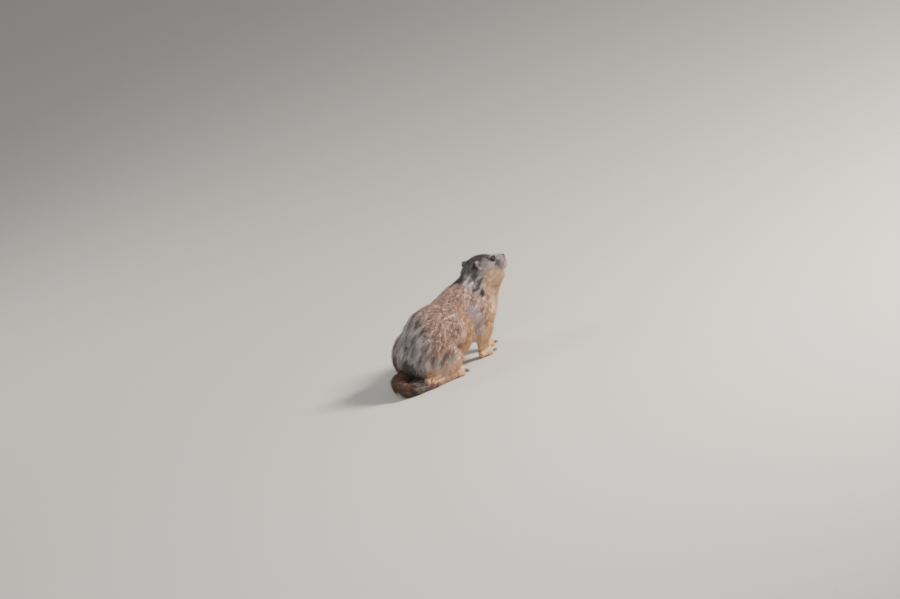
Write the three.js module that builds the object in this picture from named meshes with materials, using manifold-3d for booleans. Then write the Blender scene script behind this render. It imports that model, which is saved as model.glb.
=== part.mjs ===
// An alpine marmot, life size: it sits on its haunches with both forefeet down, looks ahead
// with its head raised, and lays its tail round its right haunch.
// Units are millimetres. +Z is up, +X is the way it faces and +Y is its left.
// The body is one rounded form, blended from named masses and parted with thin cuts.
// The tail and the long fringes of the coat are tapered locks, fused to what they grow from.
import * as THREE from "three";
import { mergeVertices } from "three/addons/utils/BufferGeometryUtils.js";
import Module from "manifold-3d";

const wasm = await Module();
wasm.setup();

// Driving sizes
const RUMP_TO_NOSE = 360; // as it sits, without the tail
const SEAM = 0.3; // gap between two pieces that touch
const CURVED_SEAM = 1.6 * SEAM; // across a curved cut, which leaves room for its facets
const HAIR = 0.03; // corners closer than this are one
const LEFT = 1;
const RIGHT = -1;
const SIDES = { left: LEFT, right: RIGHT };

// Cell sizes of the meshes: fine where the form is small
const TRUNK_CELL = 17;
const HAUNCH_CELL = 13;
const LEG_CELL = 9.5;
const FOOT_CELL = 8;
const HEAD_CELL = 7;
const NOSE_CELL = 4.4;
const TAIL_CELL = 9;
const CUT_CELL = 20; // of the faces hidden inside a seam

// Landmarks, measured from the rump along X and from the floor up
const HIP = [60, 0, 58];
const LOIN = [122, 0, 89];
const BELLY = [136, 0, 82];
const WITHERS = [203, 0, 110];
const BREAST = [230, 0, 112];
const NAPE = [240, 0, 130];
const SKULL = [290, 0, 180];
const NOSE = [RUMP_TO_NOSE - 6, 0, 185];
const EYE = [315.5, 22, 196];
const EYE_RADIUS = 8;
const EAR = [275, 27.5, 198.5];
const EAR_RADII = [5.5, 8.8, 9.8];
const EAR_TILT = 14;
const EAR_TURN = 50;
const HAUNCH = [76, 50, 62];
const KNEE = [108, 64, 44];
const HEEL = [52, 61, 8.5];
const HIND_TOES = [112, 74, 8.5];
const HIND_FOOT_TOP = 17;
const FORELEG = {
  left: { shoulder: [246, 42, 104], elbow: [271, 40, 68], wrist: [253, 26, 22] },
  right: { shoulder: [232, 42, 104], elbow: [223, 44, 70], wrist: [216, 28, 22] },
};
const HIND_CLAW = { length: 15, radius: 3 };
const FORE_CLAW = { length: 15, radius: 2.8 };
const MOUTH_LINE = 1.3;

// The tail's own line, from the rump round the right haunch, and its radius out to the hair's tips
const TAIL_LINE = [
  { at: [26, 0, 44], radius: 20 },
  { at: [0, -2, 30], radius: 18 },
  { at: [-6, -24, 19], radius: 17.5 },
  { at: [4, -46, 15], radius: 15 },
  { at: [26, -60, 10], radius: 9 },
];
const TAIL_CORE = 0.5; // share of that radius that is solid
const TAIL_LOCK = { length: 36, width: 17, depth: 6 };
const FRINGE_LOCK = { length: 28, width: 15, depth: 5.5 };
const FRINGE_RISE = 0.24; // how steeply it leaves the body, as a slope

// Where the pieces are parted
const RUMP_CUT = 86;
const BELLY_CUT = 178;
const NECK_CUT = { at: [246, 0, 128], facing: [0.62, 0, 0.78] };
const HEAD_CUT = { at: [274, 0, 168], facing: [0.93, 0, 0.37] };
const FEET_APART = 46; // the hind feet lie further out than this, under the haunches
const TAIL_CUT = -30; // where the tail turns forward
const RUMP_HEIGHT = 3; // of its coat above the floor
const ROOM = 3; // how far a limb's own piece reaches past its form into the blend

// Directions and places
const onSide = (side, [x, y, z]) => [x, side * y, z];
const ahead = ([x, y, z], dx, dy = 0, dz = 0) => [x + dx, y + dy, z + dz];
const distance = (a, b) => Math.hypot(a[0] - b[0], a[1] - b[1], a[2] - b[2]);
const vector = (place) => new THREE.Vector3(...place);

function turned(pitch, yaw) {
  const radians = Math.PI / 180;
  const matrix = new THREE.Matrix4().makeRotationZ(yaw * radians);
  return matrix.multiply(new THREE.Matrix4().makeRotationY(-pitch * radians));
}

// A block between two corners, with its Y span put on the given side
function block(side, low, high) {
  const span = [side * low[1], side * high[1]].sort((a, b) => a - b);
  return [
    [low[0], span[0], low[2]],
    [high[0], span[1], high[2]],
  ];
}

// Repeatable random shares from 0 to 1
function shuffled(seed) {
  let state = seed;
  return () => {
    state = (state * 1664525 + 1013904223) % 4294967296;
    return state / 4294967296;
  };
}

// Masses: each is a function that tells how far a place lies outside it

// An ellipsoid, tilted nose up by pitch degrees and turned to its left by yaw degrees
function lump(centre, radii, pitch = 0, yaw = 0) {
  const turn = new THREE.Matrix3().setFromMatrix4(turned(pitch, yaw)).transpose().elements;
  return (x, y, z) => {
    const dx = x - centre[0];
    const dy = y - centre[1];
    const dz = z - centre[2];
    const u = (turn[0] * dx + turn[3] * dy + turn[6] * dz) / radii[0];
    const v = (turn[1] * dx + turn[4] * dy + turn[7] * dz) / radii[1];
    const w = (turn[2] * dx + turn[5] * dy + turn[8] * dz) / radii[2];
    const far = Math.hypot(u, v, w);
    const slope = Math.hypot(u / radii[0], v / radii[1], w / radii[2]);
    return slope < 1e-9 ? -Math.min(...radii) : (far * (far - 1)) / slope;
  };
}

// A round form from a to b, with its own radius at each end, made wider across the body by wide
function limb(a, b, radiusA, radiusB, wide = 1) {
  const along = [b[0] - a[0], b[1] - a[1], b[2] - a[2]];
  const length2 = along[0] ** 2 + along[1] ** 2 + along[2] ** 2;
  return (x, y, z) => {
    const dx = x - a[0];
    const dy = y - a[1];
    const dz = z - a[2];
    const share = Math.min(1, Math.max(0, (dx * along[0] + dy * along[1] + dz * along[2]) / length2));
    const across = (dy - share * along[1]) / wide;
    const reach = Math.hypot(dx - share * along[0], across, dz - share * along[2]);
    return reach - radiusA - share * (radiusB - radiusA);
  };
}

// A mass and over how many millimetres its join is rounded
const mass = (melt, form) => ({ melt, form });

function blended(masses) {
  return (x, y, z) => {
    let near = 1e6;
    for (const { form, melt } of masses) {
      const next = form(x, y, z);
      const overlap = Math.max(melt - Math.abs(near - next), 0) / melt;
      near = Math.min(near, next) - (overlap * overlap * melt) / 4;
    }
    return near;
  };
}

const grown = (field, by) => (x, y, z) => field(x, y, z) - by;

// The trunk and neck, out to the tips of the coat
function trunkMasses() {
  return [
    mass(1, limb(HIP, LOIN, 50, 66)),
    mass(20, limb(LOIN, WITHERS, 66, 58)),
    mass(20, limb(WITHERS, BREAST, 58, 52, 1.04)),
    mass(26, lump(BELLY, [78, 80, 56])),
    mass(24, lump(ahead(BREAST, 4, 0, -14), [50, 47, 48])),
    mass(26, limb(NAPE, ahead(SKULL, 0, 0, -15), 52, 41, 0.88)),
  ];
}

// The big round haunch over a folded hind leg
function haunchMasses(side) {
  const thigh = onSide(side, ahead(HAUNCH, 4, 4, -2));
  const shank = onSide(side, ahead(KNEE, -8, 2, -10));
  return [
    mass(22, lump(onSide(side, HAUNCH), [54, 33, 52], 0, side * 18)),
    mass(20, limb(thigh, onSide(side, KNEE), 38, 30)),
    mass(16, limb(shank, onSide(side, ahead(HEEL, -4, -1, 13)), 24, 16)),
  ];
}

// A foreleg from the shoulder to the wrist
function forelegMasses(word) {
  const [shoulder, elbow, wrist] = Object.values(FORELEG[word]).map((at) => onSide(SIDES[word], at));
  return [mass(22, limb(shoulder, elbow, 35, 23)), mass(14, limb(elbow, wrist, 22, 12.5))];
}

// The skull, bridge, muzzle, jaw, throat and chin, then the temples, cheeks, whisker pads and brows
function headMasses() {
  const masses = [
    mass(16, lump(ahead(SKULL, -1, 0, 0), [39, 33, 28])),
    mass(12, limb(ahead(SKULL, 10, 0, 6), ahead(SKULL, 53, 0, 4.5), 24, 12.5, 1.15)),
    mass(12, limb(ahead(SKULL, 28, 0, -8), ahead(SKULL, 50, 0, -7), 23, 16, 1.1)),
    mass(12, limb(ahead(SKULL, 10, 0, -24), ahead(SKULL, 44, 0, -20), 20, 11, 1.1)),
    mass(22, limb(ahead(SKULL, 32, 0, -29), ahead(SKULL, -14, 0, -74), 9, 15, 2)),
    mass(8, lump(ahead(NOSE, -6, 0, -1), [8, 8.5, 7])),
    mass(8, lump(ahead(NOSE, -17.5, 0, -27.5), [10.5, 10, 9])),
  ];
  for (const side of [LEFT, RIGHT]) {
    masses.push(mass(12, lump(ahead(SKULL, -2, side * 16, 10), [32, 17, 17])));
    masses.push(mass(14, lump(ahead(SKULL, 12, side * 24, -17), [31, 19, 22])));
    masses.push(mass(6, lump(ahead(NOSE, -9.5, side * 10, -12), [13, 10, 11])));
    masses.push(mass(7, lump(ahead(SKULL, 26, side * 18, 20), [14, 8, 6])));
  }
  return masses;
}

const body = blended([
  ...trunkMasses(),
  ...haunchMasses(LEFT),
  ...haunchMasses(RIGHT),
  ...forelegMasses("left"),
  ...forelegMasses("right"),
  ...headMasses(),
]);

function tailMasses() {
  return TAIL_LINE.slice(1).map((joint, i) => {
    const before = TAIL_LINE[i];
    return mass(10, limb(before.at, joint.at, before.radius * TAIL_CORE, joint.radius * TAIL_CORE));
  });
}

// Toes of a foot, fanned out from its front end: where each begins and ends
function toes(side, root, count, spread, length) {
  return Array.from({ length: count }, (_, i) => {
    const fan = (i / (count - 1) - 0.5) * 2;
    const start = [root[0] - Math.abs(fan) * 4, side * (root[1] + fan * spread), root[2] - 1];
    const end = [start[0] + length - Math.abs(fan) * 4, side * (root[1] + fan * spread * 1.35), 6];
    return { start, end };
  });
}

const hindToes = (side) => toes(side, HIND_TOES, 5, 11, 14);
const foreToes = (word) => toes(SIDES[word], ahead(FORELEG[word].wrist, 8, 0, -13), 4, 8, 12);

function hindFoot(side) {
  return blended([
    mass(1, limb(onSide(side, HEEL), onSide(side, HIND_TOES), 10, 9.5, 1.3)),
    ...hindToes(side).map(({ start, end }) => mass(3, limb(start, end, 6.8, 5.2))),
  ]);
}

function foreFoot(word) {
  const wrist = onSide(SIDES[word], FORELEG[word].wrist);
  return blended([
    mass(1, limb(ahead(wrist, 0, 0, 3), ahead(wrist, 8, 0, -11), 12, 10, 1.1)),
    mass(6, limb(ahead(wrist, -7, 0, -12), ahead(wrist, 10, 0, -12), 9.5, 9.5, 1.1)),
    ...foreToes(word).map(({ start, end }) => mass(3, limb(start, end, 6.2, 5.2))),
  ]);
}

// Meshing

// The surface where field is zero inside a box, with one corner in each cell that it crosses.
// The same mesh can be swollen by a gap, as the room for a piece of that form.
function meshed(field, low, high, cell, swell = 0) {
  const count = low.map((v, i) => Math.ceil((high[i] - v) / cell) + 1);
  const index = (i, j, k) => (k * count[1] + j) * count[0] + i;
  const values = new Float32Array(count[0] * count[1] * count[2]);
  const atEdge = (n, axis) => n === 0 || n === count[axis] - 1;
  for (let k = 0; k < count[2]; k++)
    for (let j = 0; j < count[1]; j++)
      for (let i = 0; i < count[0]; i++) {
        const value = field(low[0] + i * cell, low[1] + j * cell, low[2] + k * cell);
        const rim = atEdge(i, 0) || atEdge(j, 1) || atEdge(k, 2);
        values[index(i, j, k)] = rim ? Math.max(value, cell / 2) : value;
      }
  const points = [];
  const pointOf = new Map();
  const corners = [0, 1, 2, 3, 4, 5, 6, 7].map((c) => [c & 1, (c >> 1) & 1, (c >> 2) & 1]);
  for (let k = 0; k < count[2] - 1; k++)
    for (let j = 0; j < count[1] - 1; j++)
      for (let i = 0; i < count[0] - 1; i++) {
        const found = corners.map(([a, b, c]) => values[index(i + a, j + b, k + c)]);
        const middle = crossing(found, corners);
        if (!middle) continue;
        const point = middle.map((share, axis) => low[axis] + ([i, j, k][axis] + share) * cell);
        pointOf.set(index(i, j, k), points.length);
        points.push(settled(field, point, cell, swell));
      }
  const faces = [];
  const quad = (cells, flip) => {
    const [p, q, r, s] = cells.map((n) => pointOf.get(n));
    const shorter = distance(points[p], points[r]) <= distance(points[q], points[s]);
    const halves = shorter ? [p, q, r, p, r, s] : [p, q, s, q, r, s];
    faces.push(...(flip ? halves.reverse() : halves));
  };
  for (let k = 0; k < count[2] - 1; k++)
    for (let j = 0; j < count[1] - 1; j++)
      for (let i = 0; i < count[0] - 1; i++) {
        const here = index(i, j, k);
        const inside = values[here] < 0;
        const [x, y, z] = [1, count[0], count[0] * count[1]];
        if (inside !== values[here + x] < 0) quad([here - y - z, here - z, here, here - y], !inside);
        if (inside !== values[here + y] < 0) quad([here - x - z, here - x, here, here - z], !inside);
        if (inside !== values[here + z] < 0) quad([here - x - y, here - y, here, here - x], !inside);
      }
  return solidOf(new Float32Array(points.flat()), new Uint32Array(faces));
}

// The mean of the places where a cell's edges cross the surface, in shares of the cell
function crossing(found, corners) {
  const sum = [0, 0, 0];
  let crossings = 0;
  for (let a = 0; a < 8; a++)
    for (const step of [1, 2, 4]) {
      const b = a | step;
      if (b === a || found[a] < 0 === found[b] < 0) continue;
      const share = found[a] / (found[a] - found[b]);
      for (let axis = 0; axis < 3; axis++)
        sum[axis] += corners[a][axis] + share * (corners[b][axis] - corners[a][axis]);
      crossings++;
    }
  return crossings ? sum.map((s) => s / crossings) : null;
}

// Moves a point onto the surface along the field's slope, unless it belongs to a wall of the box
function settled(field, point, cell, swell = 0) {
  let place = point;
  for (let round = 0; round < 3; round++) {
    const value = field(...place);
    if (Math.abs(value) > cell * 0.6) break;
    const slope = slopeOf(field, place);
    const steep = Math.max(slope[0] ** 2 + slope[1] ** 2 + slope[2] ** 2, 0.1);
    place = place.map((v, axis) => v - (value * slope[axis]) / steep);
  }
  if (!swell) return place;
  const slope = slopeOf(field, place);
  const length = Math.hypot(...slope);
  return place.map((v, axis) => v + (swell * slope[axis]) / length);
}

function slopeOf(field, [x, y, z]) {
  const probe = 0.2;
  return [
    (field(x + probe, y, z) - field(x - probe, y, z)) / (2 * probe),
    (field(x, y + probe, z) - field(x, y - probe, z)) / (2 * probe),
    (field(x, y, z + probe) - field(x, y, z - probe)) / (2 * probe),
  ];
}

// The nearest place on the body's surface to a point, and the way out of the body there
function onBody(point) {
  let place = point;
  for (let round = 0; round < 6; round++) place = settled(body, place, 100);
  return place;
}

const outOfBody = (place) => vector(slopeOf(body, place)).normalize();

// Solids and cuts
function solidOf(vertProperties, triVerts) {
  return new wasm.Manifold(new wasm.Mesh({ numProp: 3, vertProperties, triVerts }));
}

function solidFrom(geometry) {
  const bare = geometry.index ? geometry.toNonIndexed() : geometry.clone();
  bare.deleteAttribute("normal");
  bare.deleteAttribute("uv");
  const merged = mergeVertices(bare, 1e-4);
  const old = merged.index.array;
  const kept = [];
  for (let i = 0; i < old.length; i += 3) {
    const [a, b, c] = [old[i], old[i + 1], old[i + 2]];
    if (a !== b && b !== c && a !== c) kept.push(a, b, c);
  }
  return solidOf(new Float32Array(merged.attributes.position.array), new Uint32Array(kept));
}

function solidFromRings(points, faces) {
  const geometry = new THREE.BufferGeometry();
  geometry.setAttribute("position", new THREE.Float32BufferAttribute(points.flat(), 3));
  return solidFrom(geometry.setIndex(faces));
}

function egg(centre, radii, pitch = 0, yaw = 0, sides = 14) {
  const ball = new THREE.SphereGeometry(1, sides, Math.round(sides * 0.6));
  return solidFrom(ball.scale(...radii).applyMatrix4(turned(pitch, yaw)).translate(...centre));
}

// Everything on the side of a plane that its direction points to
function beyond(point, direction) {
  const wide = 900; // more than the whole animal
  const box = new THREE.BoxGeometry(wide, wide, wide).translate(0, 0, wide / 2);
  const turn = new THREE.Quaternion().setFromUnitVectors(vector([0, 0, 1]), vector(direction).normalize());
  return solidFrom(box.applyQuaternion(turn).translate(...point));
}

const above = (height) => beyond([0, 0, height], [0, 0, 1]);
const below = (height) => beyond([0, 0, height], [0, 0, -1]);

// Both sides of a thin cut through a plane: what lies beyond it, and what lies before it
function parted(solid, point, direction) {
  const step = vector(direction).setLength(SEAM / 2);
  const away = direction.map((v) => -v);
  return [
    solid.intersect(beyond(ahead(point, step.x, step.y, step.z), direction)),
    solid.intersect(beyond(ahead(point, -step.x, -step.y, -step.z), away)),
  ];
}

// The largest closed surface of a solid
function largest(solid) {
  return solid.decompose().reduce((a, b) => (a.volume() >= b.volume() ? a : b));
}

// Joins corners that a cut has left closer than a hair, and drops the faces that this folds flat
function tidied(solid) {
  const { vertProperties, triVerts } = largest(solid).getMesh();
  const corner = (n) => vertProperties.subarray(3 * n, 3 * n + 3);
  const joined = Array.from({ length: vertProperties.length / 3 }, (_, n) => n);
  const rootOf = (n) => {
    while (joined[n] !== n) n = joined[n];
    return n;
  };
  for (let i = 0; i < triVerts.length; i++) {
    const a = triVerts[i];
    const b = triVerts[i % 3 === 2 ? i - 2 : i + 1];
    if (distance(corner(a), corner(b)) < HAIR) joined[rootOf(a)] = rootOf(b);
  }
  const faces = new Map();
  for (let i = 0; i < triVerts.length; i += 3) {
    const face = [0, 1, 2].map((k) => rootOf(triVerts[i + k]));
    if (new Set(face).size < 3) continue;
    const key = [...face].sort((a, b) => a - b).join();
    if (faces.has(key)) faces.delete(key);
    else faces.set(key, face);
  }
  return unpinched(largest(solidOf(vertProperties, new Uint32Array([...faces.values()].flat()))));
}

// Where two folds of a surface touch along an edge or a corner, draws each in by a hair
function unpinched(solid) {
  const { vertProperties, triVerts } = solid.getMesh();
  const places = new Map();
  const count = vertProperties.length / 3;
  for (let n = 0; n < count; n++) {
    const key = [...vertProperties.subarray(3 * n, 3 * n + 3)].map((v) => v.toFixed(3)).join();
    places.set(key, [...(places.get(key) || []), n]);
  }
  const pinched = [...places.values()].filter((same) => same.length > 1).flat();
  if (!pinched.length) return solid;
  const geometry = new THREE.BufferGeometry();
  geometry.setAttribute("position", new THREE.BufferAttribute(vertProperties, 3));
  geometry.setIndex(new THREE.BufferAttribute(triVerts, 1));
  geometry.computeVertexNormals();
  for (const n of pinched)
    for (let axis = 0; axis < 3; axis++)
      vertProperties[3 * n + axis] -= 2 * HAIR * geometry.attributes.normal.array[3 * n + axis];
  return solidOf(vertProperties, triVerts);
}

// The room that a limb takes out of the body, and the same room with the seam's gap round it
function room(field, low, high) {
  return {
    own: meshed(grown(field, ROOM), low, high, CUT_CELL),
    clear: meshed(grown(field, ROOM), low, high, CUT_CELL, CURVED_SEAM),
  };
}

// A tube along a line of points, closed at both ends
function tube(points, radius, steps, sides) {
  const section = new THREE.Shape();
  for (let i = 0; i < sides; i++) {
    const angle = (-i / sides) * 2 * Math.PI;
    const place = [Math.cos(angle) * radius, Math.sin(angle) * radius];
    if (i === 0) section.moveTo(...place);
    else section.lineTo(...place);
  }
  const extrudePath = new THREE.CatmullRomCurve3(points.map(vector));
  return solidFrom(new THREE.ExtrudeGeometry(section, { steps, extrudePath }));
}

// Locks of hair

// A flat lock, widest at its root, that lies along one way, rises from the surface and bends back to it.
// Its root is sunk, and it ends in a point.
function lock(root, lie, out, { length, width, depth }, rise) {
  const across = vector([0, 0, 0]).crossVectors(lie, out).normalize();
  const points = [];
  const shares = [0, 0.4, 0.75];
  const place = (share) => {
    const height = length * (rise * share - rise * 0.75 * share * share) - depth * 0.6 * (1 - share);
    return vector(root).addScaledVector(lie, length * share).addScaledVector(out, height);
  };
  for (const share of shares) {
    const size = 1 - 0.7 * share * share;
    const side = across.clone().multiplyScalar((width / 2) * size);
    const up = out.clone().multiplyScalar((depth / 2) * size);
    for (const edge of [side, up, side.clone().negate(), up.clone().negate()])
      points.push(place(share).add(edge).toArray());
  }
  points.push(place(1).toArray());
  const faces = [0, 1, 2, 0, 2, 3];
  const tip = points.length - 1;
  for (let i = 0; i < 4; i++) {
    const next = (i + 1) % 4;
    for (let ring = 0; ring < shares.length - 1; ring++) {
      const [a, b, c, d] = [i, next, next + 4, i + 4].map((n) => n + 4 * ring);
      faces.push(a, c, b, a, d, c);
    }
    const last = 4 * (shares.length - 1);
    faces.push(last + i, tip, last + next);
  }
  const solid = solidFromRings(points, faces);
  return solid.volume() > 0 ? solid : solidFromRings(points, faces.reverse());
}

// The bushy tail: rows of locks round its line, each row half a step on from the one before
function tailLocks() {
  const line = new THREE.CatmullRomCurve3(TAIL_LINE.map(({ at }) => vector(at)));
  const radiusAt = (share) => {
    const place = share * (TAIL_LINE.length - 1);
    const before = Math.min(Math.floor(place), TAIL_LINE.length - 2);
    const { radius } = TAIL_LINE[before];
    return radius + (place - before) * (TAIL_LINE[before + 1].radius - radius);
  };
  const random = shuffled(11);
  const rows = 5;
  const around = 6;
  const locks = [];
  for (let row = 0; row <= rows; row++) {
    const share = 0.3 + (0.66 * row) / rows;
    const centre = line.getPoint(share);
    const along = line.getTangent(share);
    const level = vector([0, 0, 0]).crossVectors(along, vector([0, 0, 1])).normalize();
    const up = vector([0, 0, 0]).crossVectors(level, along);
    for (let i = 0; i < around; i++) {
      const angle = ((i + (row % 2) / 2) / around) * 2 * Math.PI;
      const out = level.clone().multiplyScalar(Math.cos(angle)).addScaledVector(up, Math.sin(angle));
      if (out.z < -0.6) continue; // it would lie under the floor
      const radius = radiusAt(share);
      const root = centre.clone().addScaledVector(out, radius * TAIL_CORE * 0.75);
      const size = { ...TAIL_LOCK, length: TAIL_LOCK.length * (0.85 + 0.3 * random()) * (0.55 + radius / 40) };
      const swing = along.clone().addScaledVector(up, (random() - 0.5) * 0.2);
      locks.push(lock(root.toArray(), swing.normalize(), out, size, (radius * 1.9) / size.length));
    }
  }
  return locks;
}

// A row of locks that hang from a line on the body, one after the other
function fringe(side, line, count, lie, seed, scale = 1) {
  const path = new THREE.CatmullRomCurve3(line.map((at) => vector(onSide(side, at))));
  const random = shuffled(seed);
  const fall = vector(onSide(side, lie));
  return Array.from({ length: count }, (_, i) => {
    const share = (i + 0.3 + 0.4 * random()) / count;
    const root = onBody(path.getPoint(share).toArray());
    const out = outOfBody(root);
    const lieHere = fall.clone().addScaledVector(out, -fall.dot(out));
    lieHere.x += (random() - 0.5) * 0.35;
    lieHere.addScaledVector(out, -lieHere.dot(out)).normalize();
    const size = { ...FRINGE_LOCK, length: FRINGE_LOCK.length * scale * (0.8 + 0.4 * random()) };
    return lock(root, lieHere, out, size, FRINGE_RISE * (0.8 + 0.4 * random()));
  });
}

const joinedWith = (solid, locks) => locks.reduce((whole, next) => whole.add(next), solid);

// A claw: a curved horn that tapers along an arc in the direction that its toe points
function claw(toe, { length, radius }, gap = 0) {
  const heading = Math.atan2(toe.end[1] - toe.start[1], toe.end[0] - toe.start[0]);
  const rings = 3;
  const sides = 5;
  const sunk = 4;
  const points = [];
  for (let ring = 0; ring < rings; ring++) {
    const share = ring / rings;
    const height = 2.2 * Math.sin(share * 2.2) - 3.6 * share * share;
    const size = radius * (1 - 0.75 * share) + gap;
    for (let side = 0; side < sides; side++) {
      const angle = (side / sides) * 2 * Math.PI;
      points.push([length * share - sunk - gap, Math.cos(angle) * size * 0.8, height + Math.sin(angle) * size]);
    }
  }
  points.push([-sunk - gap, 0, 0], [length - sunk + gap, 0, -2.2]);
  const faces = [];
  const heel = rings * sides;
  for (let side = 0; side < sides; side++) {
    const next = (side + 1) % sides;
    faces.push(heel, next, side);
    for (let ring = 0; ring < rings - 1; ring++) {
      const a = ring * sides;
      faces.push(a + side, a + next, a + sides + next, a + side, a + sides + next, a + sides + side);
    }
    const last = (rings - 1) * sides;
    faces.push(last + side, last + next, heel + 1);
  }
  const geometry = new THREE.BufferGeometry();
  geometry.setAttribute("position", new THREE.Float32BufferAttribute(points.flat(), 3));
  geometry.setIndex(faces);
  geometry.rotateZ(heading).translate(toe.end[0] + 2, toe.end[1], toe.end[2] + 0.5);
  return solidFrom(geometry);
}

// Features of the head

// An ear: a short round shell, and the cup in its front and outside
function earShell(side, gap) {
  const radii = EAR_RADII.map((radius) => radius + gap);
  return egg(onSide(side, EAR), radii, EAR_TILT, side * EAR_TURN);
}

function earCup(side) {
  return egg(onSide(side, ahead(EAR, 3.8, 4.6, 1.4)), [4.4, 6.2, 7.2], EAR_TILT, side * EAR_TURN, 12);
}

function eyeball(side, gap) {
  const radius = EYE_RADIUS + gap;
  return egg(onSide(side, EYE), [radius, radius, radius]);
}

// The upper and lower lid: a rim of an almond outline round the eye, sunk into the head
function lids(side) {
  const rim = new THREE.TorusGeometry(EYE_RADIUS - 0.8, 2, 5, 14);
  rim.scale(1.05, 0.84, 1).rotateX(Math.PI / 2).rotateZ((side * 24 * Math.PI) / 180);
  return solidFrom(rim.translate(...onSide(side, ahead(EYE, 0.8, 3, 0.6))));
}

// The cleft under the nose and the line of the mouth on each side
function mouthLines() {
  const cleft = [ahead(NOSE, 2, 0, -6), ahead(NOSE, 0, 0, -12), ahead(NOSE, -5, 0, -19)].map(onBody);
  const halves = [LEFT, RIGHT].map((side) =>
    [
      ahead(NOSE, -4, side * -1, -19),
      ahead(NOSE, -9, side * 9, -21),
      ahead(NOSE, -20, side * 16, -24),
      ahead(NOSE, -33, side * 21, -25),
    ].map(onBody),
  );
  return [cleft, ...halves];
}

// The parts
const coat = new THREE.MeshStandardMaterial({ color: 0x9a8268, roughness: 0.9 });
const greyCoat = new THREE.MeshStandardMaterial({ color: 0x6d6867, roughness: 0.9 });
const rustCoat = new THREE.MeshStandardMaterial({ color: 0xb08256, roughness: 0.9 });
const darkCoat = new THREE.MeshStandardMaterial({ color: 0x3d2f28, roughness: 0.9 });
const creamCoat = new THREE.MeshStandardMaterial({ color: 0xcdb48c, roughness: 0.9 });
const wetBlack = new THREE.MeshStandardMaterial({ color: 0x17120f, roughness: 0.25 });
const horn = new THREE.MeshStandardMaterial({ color: 0x2a2420, roughness: 0.5 });

const marmot = new THREE.Group();

function addPart(name, solid, material) {
  const mesh = tidied(solid).getMesh();
  const geometry = new THREE.BufferGeometry();
  geometry.setAttribute("position", new THREE.BufferAttribute(mesh.vertProperties, 3));
  geometry.setIndex(new THREE.BufferAttribute(mesh.triVerts, 1));
  const part = new THREE.Mesh(geometry, material);
  part.name = name;
  marmot.add(part);
}

// A foot on its flat sole, with a socket for each claw, and its claws
function addFoot(name, field, extent, top, toeList, size) {
  const rooms = toeList.map((toe) => claw(toe, size, CURVED_SEAM)).reduce((a, b) => a.add(b));
  const foot = meshed(field, ...extent, FOOT_CELL).intersect(above(0)).intersect(below(top));
  addPart(name, foot.subtract(rooms), creamCoat);
  toeList.forEach((toe, i) => {
    addPart(`${name}_claw_${i + 1}`, claw(toe, size).intersect(above(0.2)), horn);
  });
}

let trunk = meshed(body, [-20, -112, -12], [330, 112, 225], TRUNK_CELL).intersect(above(RUMP_HEIGHT));
for (const side of [LEFT, RIGHT]) {
  const flank = [[122, 62, 60], [146, 70, 58], [166, 68, 60]];
  trunk = joinedWith(trunk, fringe(side, flank, 5, [-0.45, 0.2, -0.9], 31 + side));
}

const trunkRoom = meshed(body, [-20, -112, -12], [330, 112, 225], TRUNK_CELL, CURVED_SEAM);
let tailRoom = trunkRoom;

for (const [word, side] of Object.entries(SIDES)) {
  const [wristX, , wristZ] = FORELEG[word].wrist;
  const soleBlock = block(side, [8, 44, -8], [150, 116, 40]);
  const handBlock = block(side, [wristX - 38, 1, -8], [wristX + 52, 62, 50]);
  const haunchBlock = block(side, [-20, 8, -14], [166, 120, 145]);
  const legBlock = block(side, [150, 0, -6], [335, 110, 165]);

  // The haunch stands on its foot, and the trunk is cut clear of both.
  const haunchRoom = room(blended(haunchMasses(side)), ...haunchBlock);
  const overFoot = above(HIND_FOOT_TOP + SEAM);
  let thigh = meshed(body, ...haunchBlock, HAUNCH_CELL).intersect(haunchRoom.own).intersect(overFoot);
  const hem = [[40, 74, 38], [70, 86, 38], [98, 88, 38], [124, 76, 38]];
  thigh = joinedWith(thigh, fringe(side, hem, 8, [-0.35, 0.15, -0.95], 51 + side));
  addPart(`thigh_${word}`, thigh.intersect(overFoot), coat);
  const footSlot = beyond([0, side * FEET_APART, 0], [0, side, 0]).subtract(overFoot);
  trunk = trunk.subtract(haunchRoom.clear).subtract(footSlot);

  const legRoom = room(blended(forelegMasses(word)), ...legBlock);
  const leg = meshed(body, ...legBlock, LEG_CELL).intersect(legRoom.own);
  addPart(`foreleg_${word}`, leg.intersect(above(wristZ + SEAM)), greyCoat);
  trunk = trunk.subtract(legRoom.clear);

  addFoot(`hind_foot_${word}`, hindFoot(side), soleBlock, HIND_FOOT_TOP, hindToes(side), HIND_CLAW);
  addFoot(`forefoot_${word}`, foreFoot(word), handBlock, wristZ, foreToes(word), FORE_CLAW);
  if (side === RIGHT) {
    tailRoom = tailRoom.add(meshed(body, ...haunchBlock, HAUNCH_CELL, CURVED_SEAM));
    tailRoom = tailRoom.add(meshed(hindFoot(side), ...soleBlock, FOOT_CELL, CURVED_SEAM));
  }
}

const [beforeRump, rump] = parted(trunk, [RUMP_CUT, 0, 0], [1, 0, 0]);
const [beforeBelly, belly] = parted(beforeRump, [BELLY_CUT, 0, 0], [1, 0, 0.2]);
const [neckAndHead, chest] = parted(beforeBelly, NECK_CUT.at, NECK_CUT.facing);
const [, neck] = parted(neckAndHead, HEAD_CUT.at, HEAD_CUT.facing);
addPart("rump", rump, greyCoat);
addPart("belly", belly, coat);
addPart("chest", chest, coat);
addPart("neck", neck, coat);

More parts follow.
